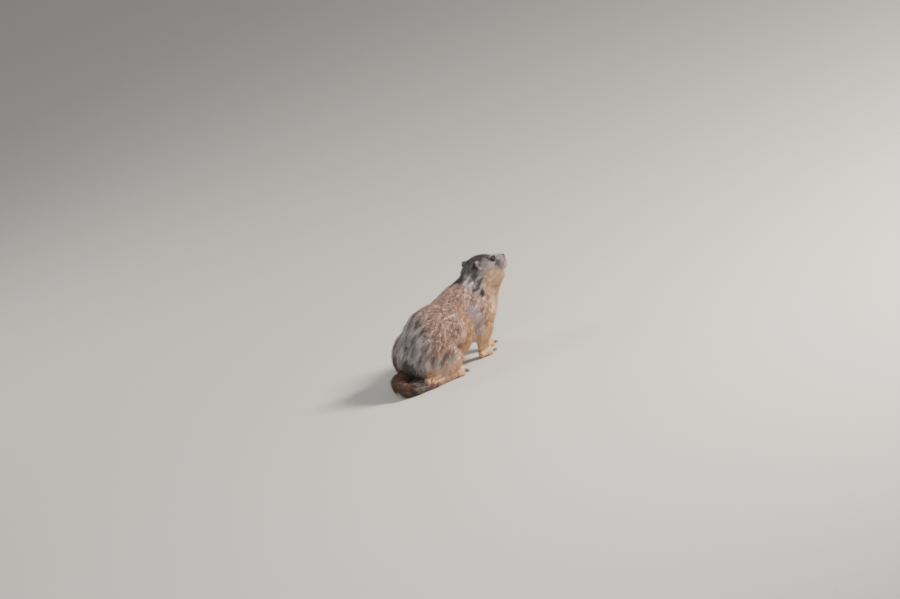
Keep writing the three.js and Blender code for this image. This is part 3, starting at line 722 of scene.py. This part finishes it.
def markings(at, out, lie):
    ragged = at + (np.stack([patches(at, 15, s) for s in (1, 2, 3)], axis=1) - 0.5) * 14
    x, y, z = ragged.T
    wide = np.abs(y)
    head, head_here = head_share(ragged), head_share(at)
    on_head = step(-0.36, -0.22, head)
    mirrored = np.stack([x, wide, z], axis=1)
    on_back = step(16, -16, x + 0.6 * (158 - z) - 118)
    silver = most_of(on_back, 0.8 * step(78, 60, z) * step(128, 100, x), on_head)
    sideways = step(0.2, 0.7, np.abs(out[:, 1]))
    lilac = most_of(
        both(ragged, [215, 68, 112], [20, 30, 40], 0.7),
        0.3 * step(70, 110, z) * step(190, 178, x) * step(150, 168, x) * sideways,
        both(ragged, [296, 38, 186], [26, 20, 15], 0.8),
    )
    band = limb([186, 70, 138], [184, 78, 86], 9, 9, 6)
    low_band = limb([184, 78, 86], [160, 72, 58], 9, 12, 6)
    orange = most_of(
        step(16, -10, np.minimum(band(mirrored), low_band(mirrored))) * step(24, 40, wide),
        step(62, 44, z) * step(30, 48, wide) * step(20, 36, x) * step(150, 120, x),
    )
    cream = most_of(
        step(-9, 7, x - 268 - 0.7 * (z - 150)) * step(182, 170, z + 0.12 * (x - 300)) * step(60, 90, z),
        step(0.15, 0.75, out[:, 0]) * step(225, 250, x) * step(175, 150, z),
        step(84, 60, z) * step(196, 210, x),
        0.8 * step(-0.25, -0.8, out[:, 2]) * step(110, 150, x) * (1 - on_head),
        foot_share(at),
    )
    rust = most_of(spot(ragged, [8, 0, 44], [30, 50, 34], 0.7), near_tail(at))
    neck = limb([264, 38, 170], [258, 44, 154], 5, 6), limb([258, 44, 154], [248, 48, 151], 6, 2)
    dark = most_of(
        0.72 * spot(ragged, [278, 0, 212], [58, 38, 28], 0.6),
        # Dark nape: its own dark hair, with the head's shadow painted on it as well.
        0.9 * spot(ragged, [232, 4, 184], [15, 26, 13], 0.9),
        0.75 * step(8, -5, np.min([line(mirrored) for line in neck], axis=0)),
        # The dark back of each ear, with the ear's shadow painted on the neck behind it.
        0.8 * both(at, [264, 27, 196], [10, 9, 12], 0.9),
        # Painted shade in the hollow between each haunch and the rump, beside the tail root.
        0.9 * both(ragged, [24, -34, 70], [20, 26, 30], 0.9),
        # Painted shade on the upper back of the rump, on its right side.
        0.5 * spot(ragged, [50, -34, 112], [20, 14, 14], 0.9),
        0.35 * spot(ragged, [67, -89, 74], [16, 14, 14], 0.9),
        0.85 * both(ragged, EYE, [17, 13, 12.5], 0.8),
        0.4 * both(ragged, [282, 34, 188], [28, 15, 17], 0.9),
        0.8 * spot(ragged, TAIL_LINE[3] + [4, 0, 6], [24, 18, 14], 0.9),
    )
    rim = np.min([np.linalg.norm(at - on_side(side, EAR), axis=1) for side in (1, -1)], axis=0)
    pale = most_of(
        spot(at, NOSE + [-8, 0, 4], [24, 18, 13], 0.9),
        0.6 * both(at, [336, 20, 174], [22, 14, 18], 0.9),
        # Pale rim round each ear, only where it faces forward: pale fur with painted sunlight on it.
        0.9 * step(6.5, 8.5, rim) * step(12, 10, rim) * step(-0.4, 0.2, out[:, 0]),
    )
    # The middle of each ear is made dark: its own dark skin, with painted shade in the cup.
    dark = np.maximum(dark * (1 - 0.9 * pale), 0.9 * step(7.5, 5.5, rim))
    for side in (1, -1):
        along, up, away = near_eye(at, side)
        lids = np.sqrt((along / 10.2) ** 2 + (up / 7.8) ** 2)
        dark = np.maximum(dark, step(1.1, 0.95, lids) * (away > -3))
    streak = streaks(at, lie, 5)
    calm = np.maximum(0.5 * step(-0.2, 0.3, head_here), 0.8 * foreleg_share(at))
    streak = mix(streak, 0.5 + (streak - 0.5) * 0.5, calm)
    plain = np.zeros(len(at))
    groups = (silver, lilac, orange), (cream, rust, dark), (pale, streak, plain)
    return [np.stack(group, axis=1) for group in groups]


def store(mesh, name, values, kind="FLOAT"):
    layer = mesh.attributes.new(name, kind, "POINT")
    layer.data.foreach_set("value" if kind == "FLOAT" else "vector", np.asarray(values, np.float32).ravel())


skin_out = np.zeros((len(places), 3))
for corner in range(4):
    np.add.at(skin_out, quads[:, corner], flat)
skin_out = unit(skin_out)
MARKS = ("body_marks", "end_marks", "fine_marks")
for name, marks in zip(MARKS, markings(places, skin_out, lie_of_hair(places, skin_out))):
    store(skin_piece.data, name, marks, "FLOAT_VECTOR")
store(skin_piece.data, "along", np.full(len(places), 0.3))
store(skin_piece.data, "tuft", np.full(len(places), 0.5))
tuft_marks = markings(roots, out, lie)
print("share of the coat that is silver", tuft_marks[0][:, 0].mean().round(2))

# %% [markdown]
# Each tuft is a thin spike with three sides and one bend, or two where it is long. It is
# closed and solid, because hair curves would be lost in an export. With so many tufts, arrays
# build all of them at once: every ring of corners is one line of arithmetic.

# %% Build the coat
def tuft_shape(rings):
    faces = [(0, 2, 1)]
    for ring in range(rings - 1):
        for side in range(3):
            a, b = 3 * ring + side, 3 * ring + (side + 1) % 3
            faces += [(a, b, b + 3), (a, b + 3, a + 3)]
    last = 3 * (rings - 1)
    faces += [(last + side, last + (side + 1) % 3, last + 3) for side in range(3)]
    return np.array(faces)


UV_PATCH = 0.003
MOST_TUFTS, MOST_LONG_TUFTS = 19500, 12000


def coat_piece(name, chosen, rings):
    start, end, up = roots[chosen], tips[chosen], out[chosen]
    side = unit(np.cross(lie[chosen], up))
    bend = start + up * (depth[chosen] * 0.75)[:, None] + lie[chosen] * (length[chosen] * 0.3)[:, None]
    half = (width[chosen] / 2)[:, None]
    points, alongs, patch = [], [], []
    for ring in range(rings):
        t = ring / rings * (1.0 if rings > 2 else 0.9)
        centre = (1 - t) ** 2 * start + 2 * (1 - t) * t * bend + t**2 * end
        if ring == 0:
            centre = centre - up * 0.5
        size = half * (0.85 + 0.5 * t - 0.95 * t * t)
        points += [centre - side * size, centre + side * size, centre + up * size * 0.8]
        alongs += [t] * 3
        patch += [(-0.5, t - 0.5), (0.5, t - 0.5), (0, t - 0.5)]
    points.append(end)
    alongs.append(1.0)
    patch.append((0, 0.5))
    corners_each = len(points)
    cloud = np.stack(points, axis=1).reshape(-1, 3)
    cloud[:, 2] = np.maximum(cloud[:, 2], 0.05)
    shape = tuft_shape(rings)
    faces = (shape[None] + (np.arange(len(start)) * corners_each)[:, None, None]).reshape(-1, 3)
    piece = new_piece(name, cloud, faces)
    every = lambda values: np.repeat(values, corners_each, axis=0)
    store(piece.data, "along", np.tile(alongs, len(start)))
    store(piece.data, "tuft", every(tuft_chance[chosen]))
    for label, marks in zip(MARKS, tuft_marks):
        store(piece.data, label, every(marks[chosen]), "FLOAT_VECTOR")
    spread = root_uv[chosen][:, None] + np.array(patch)[None] * UV_PATCH
    layer = piece.data.uv_layers.new(name="OFBake")
    layer.data.foreach_set("uv", spread.reshape(-1, 2)[faces.ravel()].astype(np.float32).ravel())
    return piece


tuft_chance = 0.65 * random.random(TUFTS) + 0.35 * random.random(TUFTS)[lock]
long_hair = near_tail(roots) > 0.5
in_head = head_share(roots) > 0.0
regions = {"coat_tail": long_hair, "coat_head": in_head & ~long_hair}
rest = ~long_hair & ~in_head
bands = np.quantile(roots[rest, 0], np.linspace(0, 1, 7))
for band in range(6):
    inside = rest & (roots[:, 0] >= bands[band]) & (roots[:, 0] < bands[band + 1] + (band == 5))
    regions[f"coat_body_{band + 1}"] = inside
coat_pieces = []
for name, inside in regions.items():
    chosen = np.flatnonzero(inside)
    most = MOST_LONG_TUFTS if name == "coat_tail" else MOST_TUFTS
    for part in range(0, len(chosen), most):
        label = name if part == 0 else f"{name}_{part // most + 1}"
        coat_pieces.append(coat_piece(label, chosen[part : part + most], 3 if name == "coat_tail" else 2))
print("coat pieces", len(coat_pieces), "triangles", sum(len(p.data.polygons) for p in coat_pieces))

# %% [markdown]
# A node group holds the coat's colours, so that skin and tufts use exactly the same ones. It
# lays the markings over each other like washes of paint. Then it lightens the tips, darkens
# the roots, and varies each lock and tuft a little, as guard hairs with pale bands do.

# %% Colours of the coat
def linear(red, green, blue):
    share = np.array([red, green, blue]) / 255
    value = np.where(share <= 0.04045, share / 12.92, ((share + 0.055) / 1.055) ** 2.4)
    return (*value, 1.0)


TAN = linear(238, 196, 174)
BROWN = linear(184, 146, 126)
SILVER = linear(196, 178, 178)
SOOT = linear(44, 36, 38)
FROST = linear(246, 234, 232)
LILAC = linear(240, 214, 214)
SALMON = linear(252, 194, 144)
CREAM = linear(250, 204, 150)
RUST = linear(104, 68, 46)
# Dark fur, and also the painted shade in hollows, on the nape, behind the ears and in the ear cups.
DARK_FUR_AND_SHADE = linear(46, 41, 44)
PALE = linear(206, 190, 192)


def add_node(tree, kind, inputs=(), **settings):
    """Adds a node, sets its options, and fills or links the inputs that are named or numbered."""
    node = tree.nodes.new(kind)
    for name, value in settings.items():
        setattr(node, name, value)
    for socket, value in dict(inputs).items():
        if isinstance(value, bpy.types.NodeSocket):
            tree.links.new(value, node.inputs[socket])
        else:
            node.inputs[socket].default_value = value
    return node


def mixed(tree, share, first, second):
    return add_node(tree, "ShaderNodeMix", {0: share, 6: first, 7: second}, data_type="RGBA").outputs[2]


def ranged(tree, value, low, high, start, end):
    ends = {"Value": value, "From Min": low, "From Max": high, "To Min": start, "To Max": end}
    return add_node(tree, "ShaderNodeMapRange", ends).outputs["Result"]


def product(tree, a, b, operation="MULTIPLY"):
    return add_node(tree, "ShaderNodeMath", {0: a, 1: b}, operation=operation).outputs[0]


def read(tree, name, output="Fac"):
    node = add_node(tree, "ShaderNodeAttribute", attribute_name=name)
    return node.outputs[output]


def coat_colour_group():
    tree = bpy.data.node_groups.new("marmot coat colour", "ShaderNodeTree")
    tree.interface.new_socket("Colour", in_out="OUTPUT", socket_type="NodeSocketColor")
    masks = []
    for name in MARKS:
        split = add_node(tree, "ShaderNodeSeparateXYZ", {0: read(tree, name, "Vector")})
        masks += list(split.outputs)
    silver, lilac, orange, cream, rust, dark, pale, streak = masks[:8]
    tuft_value, along = read(tree, "tuft"), read(tree, "along")

    sooty = mixed(tree, ranged(tree, streak, 0.25, 0.6, 0.95, 0), SILVER, SOOT)
    frosted = mixed(tree, ranged(tree, streak, 0.6, 0.9, 0, 0.7), sooty, FROST)
    warm = mixed(tree, ranged(tree, streak, 0.1, 0.6, 0.8, 0), TAN, BROWN)
    colour = mixed(tree, silver, warm, frosted)
    # The dark wash lays both the dark fur and the painted shade of the markings.
    washes = (lilac, LILAC), (orange, SALMON), (cream, CREAM), (rust, RUST), (dark, DARK_FUR_AND_SHADE), (pale, PALE)
    for share, wash in washes:
        colour = mixed(tree, share, colour, wash)
    tip = product(tree, ranged(tree, along, 0.4, 1.0, 0, 0.5), ranged(tree, silver, 0, 1, 0.15, 0.9))
    tip = product(tree, tip, ranged(tree, product(tree, rust, dark, "MAXIMUM"), 0, 1, 1, 0.15))
    colour = mixed(tree, tip, colour, FROST)
    vary = product(tree, ranged(tree, tuft_value, 0, 1, 0.72, 1.24), ranged(tree, streak, 0, 1, 0.72, 1.16))
    vary = product(tree, vary, ranged(tree, along, 0.0, 0.6, 0.52, 1.0))
    tint = add_node(tree, "ShaderNodeHueSaturation", {"Color": colour, "Value": vary})
    add_node(tree, "NodeGroupOutput", {0: tint.outputs["Color"]})
    return tree


coat_colours = coat_colour_group()
print("coat colour nodes", len(coat_colours.nodes))

# %% [markdown]
# Fur is matt with a faint sheen where light grazes it. The skin below gets fine bump along
# with the same colours, so that a gap between tufts looks like shorter hair.

# %% Coat and skin materials
def new_material(name, values):
    material = bpy.data.materials.new(name)
    material.use_nodes = True
    shader = material.node_tree.nodes["Principled BSDF"]
    for socket, value in values.items():
        shader.inputs[socket].default_value = value
    return material, material.node_tree, shader


def texture(tree, kind, scale, **more):
    place = add_node(tree, "ShaderNodeTexCoord").outputs["Object"]
    return add_node(tree, kind, {"Vector": place, "Scale": scale, **more})


def bumped(tree, shader, height, distance, strength):
    relief = add_node(tree, "ShaderNodeBump", {"Height": height, "Distance": distance, "Strength": strength})
    tree.links.new(relief.outputs["Normal"], shader.inputs["Normal"])


def fur_material(name, bump):
    matt = {"Roughness": 0.62, "Specular IOR Level": 0.3, "Sheen Weight": 0.25, "Sheen Roughness": 0.45}
    material, tree, shader = new_material(name, matt)
    colours = add_node(tree, "ShaderNodeGroup", node_tree=coat_colours)
    tree.links.new(colours.outputs[0], shader.inputs["Base Color"])
    if bump:
        strands = texture(tree, "ShaderNodeTexNoise", 900, Detail=4)
        bumped(tree, shader, strands.outputs["Fac"], 0.0006, 0.8)
    return material


coat_material = fur_material("marmot_fur", False)
skin_material = fur_material("marmot_skin", True)
skin_piece.data.materials.append(skin_material)
for piece in coat_pieces:
    piece.data.materials.append(coat_material)
print("materials", len(bpy.data.materials))

# %% [markdown]
# The nose is a bare, pebbled pad with two comma-shaped nostrils. It is meshed from its own
# small form, with cells of half a millimetre, and it sits half sunk in the end of the muzzle.

# %% Nose
def nose_form(at):
    form = lump(NOSE + [0.5, 0, 0], [7.6, 8.2, 6.6])(at)
    form = union(form, lump(NOSE + [1, 0, -6], [5.8, 3.2, 4.6])(at), 4)
    for side in (1, -1):
        form = carved(form, lump(NOSE + [6.6, side * 4.1, -0.3], [3.8, 2.0, 1.8], 10, side * -40)(at), 1.0)
        form = carved(form, limb(NOSE + [6, side * 5.2, -1], NOSE + [3, side * 8.2, -2.3], 1.1, 0.6)(at), 0.8)
    return carved(form, limb(NOSE + [8.6, 0, 2.6], NOSE + [7, 0, -11], 0.7, 0.7)(at), 1.2)


gap = 0.5
lines = [np.arange(NOSE[n] - 14, NOSE[n] + 14, gap) for n in range(3)]
nose_piece = new_piece("nose_pad", *meshed(nose_form, *lines))
nose_skin, tree, shader = new_material("nose_skin", {"Roughness": 0.34})
pebbles = texture(tree, "ShaderNodeTexVoronoi", 1300)
bumped(tree, shader, pebbles.outputs["Distance"], 0.0003, 0.7)
shade = mixed(tree, pebbles.outputs["Distance"], linear(34, 26, 26), linear(64, 52, 50))
tree.links.new(shade, shader.inputs["Base Color"])
nose_piece.data.materials.append(nose_skin)
print("nose faces", len(nose_piece.data.polygons))

# %% [markdown]
# A marmot's eye is nearly all dark iris. The ball bulges a little at the front, where the
# cornea is, and a clear wet coat gives it the small sharp highlight that brings it to life.

# %% Eyes
def eye_piece(word, side):
    sphere = bmesh.new()
    bmesh.ops.create_uvsphere(sphere, u_segments=48, v_segments=32, radius=EYE_RADIUS)
    mesh = bpy.data.meshes.new(f"eyeball_{word}")
    gaze = Vector(GAZE[side]).normalized()
    for corner in sphere.verts:
        facing = corner.co.normalized().z
        corner.co *= 1 + 0.05 * max(0.0, (facing - 0.75) / 0.25) ** 1.5
    sphere.transform(Vector((0, 0, 1)).rotation_difference(gaze).to_matrix().to_4x4())
    for face in sphere.faces:
        face.smooth = True
    for corner in sphere.verts:
        corner.co = to_metres(np.array(corner.co) + on_side(side, EYE))
    sphere.to_mesh(mesh)
    piece = linked(mesh.name, mesh)
    centre = to_metres(on_side(side, EYE))
    wet = {"Roughness": 0.16, "Specular IOR Level": 0.15, "Coat Weight": 0.35, "Coat Roughness": 0.04}
    material, tree, shader = new_material(f"eye_{word}", wet)
    place = add_node(tree, "ShaderNodeTexCoord").outputs["Object"]
    offset = add_node(tree, "ShaderNodeVectorMath", {0: place, 1: centre}, operation="SUBTRACT")
    facing = add_node(tree, "ShaderNodeVectorMath", {0: offset.outputs[0], 1: gaze}, operation="DOT_PRODUCT")
    iris = ranged(tree, facing.outputs["Value"], 0.0062, 0.0075, 0, 1)
    brown = mixed(tree, iris, linear(20, 13, 10), linear(38, 23, 15))
    pupil = ranged(tree, facing.outputs["Value"], 0.0074, 0.0076, 0, 1)
    tree.links.new(mixed(tree, pupil, brown, linear(6, 5, 5)), shader.inputs["Base Color"])
    piece.data.materials.append(material)
    return piece


eye_pieces = {word: eye_piece(word, side) for word, side in SIDES.items()}
print("eyeballs", len(eye_pieces))

# %% [markdown]
# Claws are curved horn, thick at the root, flattened from side to side and worn blunt at the
# tip. Each is swept along an arc that continues its toe, and the claws of a foot are joined.

# %% Claws
def claw_places(toe, length, radius, rings=9, sides=10):
    start, end = toe
    heading = np.arctan2(end[1] - start[1], end[0] - start[0])
    ahead, left = np.array([np.cos(heading), np.sin(heading), 0]), np.array([-np.sin(heading), np.cos(heading), 0])
    points = []
    for ring in range(rings):
        share = ring / (rings - 1)
        middle = end + [0, 0, 0.5] + ahead * (2 - 4 + length * share)
        middle = middle + [0, 0, 2.2 * np.sin(share * 2.2) - 3.6 * share**2]
        size = radius * (1 - 0.78 * share**1.3)
        for side in range(sides):
            angle = side / sides * 2 * pi
            points.append(middle + left * np.cos(angle) * size * 0.72 + np.array([0, 0, np.sin(angle) * size]))
    return np.array(points)


def claws(name, foot, length, radius, rings=9, sides=10):
    cloud, faces = [], []
    for number, toe in enumerate(foot):
        cloud.append(claw_places(toe, length, radius, rings, sides))
        base = number * rings * sides
        for ring in range(rings - 1):
            for side in range(sides):
                a, b = base + ring * sides + side, base + ring * sides + (side + 1) % sides
                faces.append((a, b, b + sides, a + sides))
    cloud = np.concatenate(cloud)
    cloud[:, 2] = np.maximum(cloud[:, 2], 0.2)
    piece = new_piece(name, cloud, np.array(faces))
    shape = bmesh.new()
    shape.from_mesh(piece.data)
    bmesh.ops.holes_fill(shape, edges=shape.edges, sides=sides)
    bmesh.ops.recalc_face_normals(shape, faces=shape.faces)
    shape.to_mesh(piece.data)
    return piece


horn, tree, shader = new_material("claw_horn", {"Roughness": 0.38})
place = add_node(tree, "ShaderNodeTexCoord").outputs["Object"]
stretch = add_node(tree, "ShaderNodeMapping", {"Vector": place, "Scale": (200, 1800, 1800)})
grain = add_node(tree, "ShaderNodeTexNoise", {"Vector": stretch.outputs["Vector"]})
grown = mixed(tree, grain.outputs["Fac"], linear(36, 28, 24), linear(84, 68, 56))
tree.links.new(grown, shader.inputs["Base Color"])
claw_pieces = []
for word, side in SIDES.items():
    for kind, foot, size in (("hind_foot", hind_toes, (15, 3.0)), ("forefoot", fore_toes, (15, 2.8))):
        piece = claws(f"{kind}_{word}_claws", foot[side], *size)
        piece.data.materials.append(horn)
        names = [f"{kind}_{word}_claw_{n + 1}" for n in range(len(foot[side]))]
        claw_pieces.append((piece, names))
print("claws", sum(len(names) for _, names in claw_pieces))

# %% [markdown]
# Whiskers are stiff single hairs in rows on the pads beside the nose, and a few above the
# eye. They repeat one tapered, curved hair, which is what Geometry Nodes are good at: points
# carry a direction and a size, and the tree puts a hair on each, then makes them real.

# %% Whiskers
def whisker_points():
    starts, ways, sizes = [], [], []
    chance = np.random.default_rng(7)
    for side in (1, -1):
        for row in range(4):
            for n in range(5 - row % 2):
                starts.append(NOSE + [-7.5 - 4.2 * n, side * (9 + 1.6 * n), -6 - 3.6 * row + 0.5 * n])
                ways.append([-0.55 - 0.1 * n, side * (0.9 - 0.05 * n), 0.16 - 0.2 * row])
                sizes.append(22 + 6 * n)
        for n in range(3):
            starts.append(on_side(side, EYE + [3 - 3 * n, 0, 9]))
            ways.append([-0.8, side * 0.6, 0.22])
            sizes.append(14 + 3 * n)
    starts = onto(skin, starts)[0]
    ways = unit(np.array(ways) + chance.normal(0, 0.08, (len(ways), 3)))
    return starts, ways, np.array(sizes) * chance.uniform(0.85, 1.15, len(sizes))


def whisker_tree(material):
    tree = bpy.data.node_groups.new("whiskers", "GeometryNodeTree")
    for name, kind in (("Points", "Geometry"), ("Thickness", "Float"), ("Droop", "Float")):
        tree.interface.new_socket(name, in_out="INPUT", socket_type="NodeSocket" + kind)
    tree.interface.new_socket("Whiskers", in_out="OUTPUT", socket_type="NodeSocketGeometry")
    given = add_node(tree, "NodeGroupInput").outputs
    bend = add_node(tree, "ShaderNodeCombineXYZ", {"X": given["Droop"], "Z": 1.0})
    line = {"Resolution": 7, "Start": (0, 0, 0), "Middle": (0, 0, 0.55), "End": bend.outputs[0]}
    hair = add_node(tree, "GeometryNodeCurveQuadraticBezier", line)
    share = add_node(tree, "GeometryNodeSplineParameter").outputs["Factor"]
    radius = product(tree, product(tree, 1.06, share, "SUBTRACT"), given["Thickness"])
    thinner = add_node(tree, "GeometryNodeSetCurveRadius", {"Curve": hair.outputs[0], "Radius": radius})
    ring = add_node(tree, "GeometryNodeCurvePrimitiveCircle", {"Resolution": 5, "Radius": 1.0})
    swept = {"Fill Caps": True, "Curve": thinner.outputs[0], "Profile Curve": ring.outputs[0]}
    solid = add_node(tree, "GeometryNodeCurveToMesh", swept)
    if "Scale" in solid.inputs:
        tree.links.new(radius, solid.inputs["Scale"])
    way = add_node(tree, "GeometryNodeInputNamedAttribute", {"Name": "way"}, data_type="FLOAT_VECTOR")
    size = add_node(tree, "GeometryNodeInputNamedAttribute", {"Name": "size"}, data_type="FLOAT")
    turn = add_node(tree, "FunctionNodeAlignRotationToVector", {"Vector": way.outputs["Attribute"]}, axis="Z")
    each = {"Points": given["Points"], "Instance": solid.outputs[0], "Rotation": turn.outputs[0]}
    put = add_node(tree, "GeometryNodeInstanceOnPoints", {**each, "Scale": size.outputs["Attribute"]})
    real = add_node(tree, "GeometryNodeRealizeInstances", {0: put.outputs[0]})
    paint = add_node(tree, "GeometryNodeSetMaterial", {"Geometry": real.outputs[0], "Material": material})
    add_node(tree, "NodeGroupOutput", {0: paint.outputs[0]})
    return tree


whisker_hair, tree, shader = new_material("whisker_hair", {"Roughness": 0.4})
tone = texture(tree, "ShaderNodeTexNoise", 400)
horny = mixed(tree, tone.outputs["Fac"], linear(24, 20, 20), linear(70, 60, 56))
tree.links.new(horny, shader.inputs["Base Color"])

starts, ways, sizes = whisker_points()
cloud = bpy.data.meshes.new("whisker_points")
cloud.from_pydata([tuple(p) for p in to_metres(starts)], [], [])
store(cloud, "way", ways, "FLOAT_VECTOR")
store(cloud, "size", sizes / 1000)
holder = linked("whisker_points", cloud)
modifier = holder.modifiers.new("whiskers", "NODES")
modifier.node_group = whisker_tree(whisker_hair)
sockets = {item.name: item.identifier for item in modifier.node_group.interface.items_tree}
modifier[sockets["Thickness"]] = 0.009
modifier[sockets["Droop"]] = 0.22
bpy.context.view_layer.update()
made = bpy.data.meshes.new_from_object(holder.evaluated_get(bpy.context.evaluated_depsgraph_get()))
bpy.data.objects.remove(holder)
made.name = "whiskers"
whisker_piece = linked("whiskers", made)
print("whiskers", len(starts), "faces", len(made.polygons))

# %% [markdown]
# The skin stands for every node of flesh. The other pieces ride on the same one body, since
# a still animal has no joints, and the imported parts that they stand for are hidden.

# %% Ride on one body, and hide the replaced parts
flesh = [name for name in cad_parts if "_claw_" not in name and not name.startswith(("eye", "nose"))]
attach(skin_piece, "root")
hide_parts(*flesh)
for piece in coat_pieces:
    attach(piece, "root")
for piece, names in claw_pieces:
    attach(piece, "root")
    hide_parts(*names)
for word, piece in eye_pieces.items():
    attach(piece, "root")
    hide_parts(f"eye_{word}")
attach(nose_piece, "root")
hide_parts("nose")
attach(whisker_piece, "root")
print("flesh nodes replaced", len(flesh))

# %% [markdown]
# The set is a plain pale floor under soft studio light. The main light stands to the right,
# where the sun stands in the photograph, and is large, so its shadows have soft edges.

# %% Floor and light
floor_mesh = bpy.data.meshes.new("floor")
FLOOR_REACH = 40
floor_corners = [(FLOOR_REACH * x, FLOOR_REACH * y, 0) for x, y in ((-1, -1), (1, -1), (1, 1), (-1, 1))]
floor_mesh.from_pydata(floor_corners, [], [(0, 1, 2, 3)])
floor = linked("floor", floor_mesh)
floor_paint, tree, shader = new_material("floor_paint", {"Base Color": linear(214, 210, 202), "Roughness": 0.9})
floor.data.materials.append(floor_paint)


def area_light(name, place, size, watts, colour):
    light = bpy.data.lights.new(name, "AREA")
    light.shape, light.size, light.energy, light.color = "DISK", size, watts, colour
    holder = linked(name, light)
    holder.location = place
    aim = Vector((0, 0, 0.1)) - Vector(place)
    holder.rotation_euler = aim.to_track_quat("-Z", "Y").to_euler()
    return holder


area_light("sun_side", (2.1, -2.0, 1.9), 0.8, 245, (1.0, 0.94, 0.86))
area_light("sky_fill", (-1.8, -2.2, 1.8), 2.4, 25, (0.9, 0.94, 1.0))
area_light("rim", (-0.6, 2.4, 1.9), 1.2, 25, (1.0, 0.97, 0.92))
world = bpy.data.worlds.new("studio")
bpy.context.scene.world = world
world.use_nodes = True
world.node_tree.nodes["Background"].inputs["Color"].default_value = (0.82, 0.86, 0.92, 1)
world.node_tree.nodes["Background"].inputs["Strength"].default_value = 0.32

# %% [markdown]
# The photograph was taken from the marmot's right, a little behind and above it, through a
# long lens. The camera is turned about its own axis, because the line of the back climbs
# steeply there, while the floor and the marmot stay level.

# %% Camera
TURN, RISE, ROLL = radians(27), radians(14), radians(20)
WIDTH_OF_VIEW = 900 / 0.44 / 1000
LENS, SENSOR = 300, 36
right = np.array([np.cos(TURN), -np.sin(TURN), 0])
above = np.array([np.sin(TURN) * np.sin(RISE), np.cos(TURN) * np.sin(RISE), np.cos(RISE)])
forward = np.cross(above, right)
camera_right = right * np.cos(ROLL) - above * np.sin(ROLL)
camera_up = right * np.sin(ROLL) + above * np.cos(ROLL)
distance = WIDTH_OF_VIEW * LENS / SENSOR
aim = to_metres(np.array([192, 0, 150]))
camera_data = bpy.data.cameras.new("camera")
camera_data.lens, camera_data.sensor_width = LENS, SENSOR
camera_data.clip_end = 200
camera = linked("camera", camera_data)
axes = np.stack([camera_right, camera_up, -forward], axis=1)
matrix = Matrix.Identity(4)
for row in range(3):
    for column in range(3):
        matrix[row][column] = axes[row, column]
    matrix[row][3] = (aim - forward * distance)[row]
camera.matrix_world = matrix
bpy.context.scene.camera = camera
print("camera height in m", round(camera.matrix_world.translation.z, 2), "distance", round(distance, 2))

# %% [markdown]
# Last, the scene is brought up to date.

# %% Finish
bpy.context.view_layer.update()
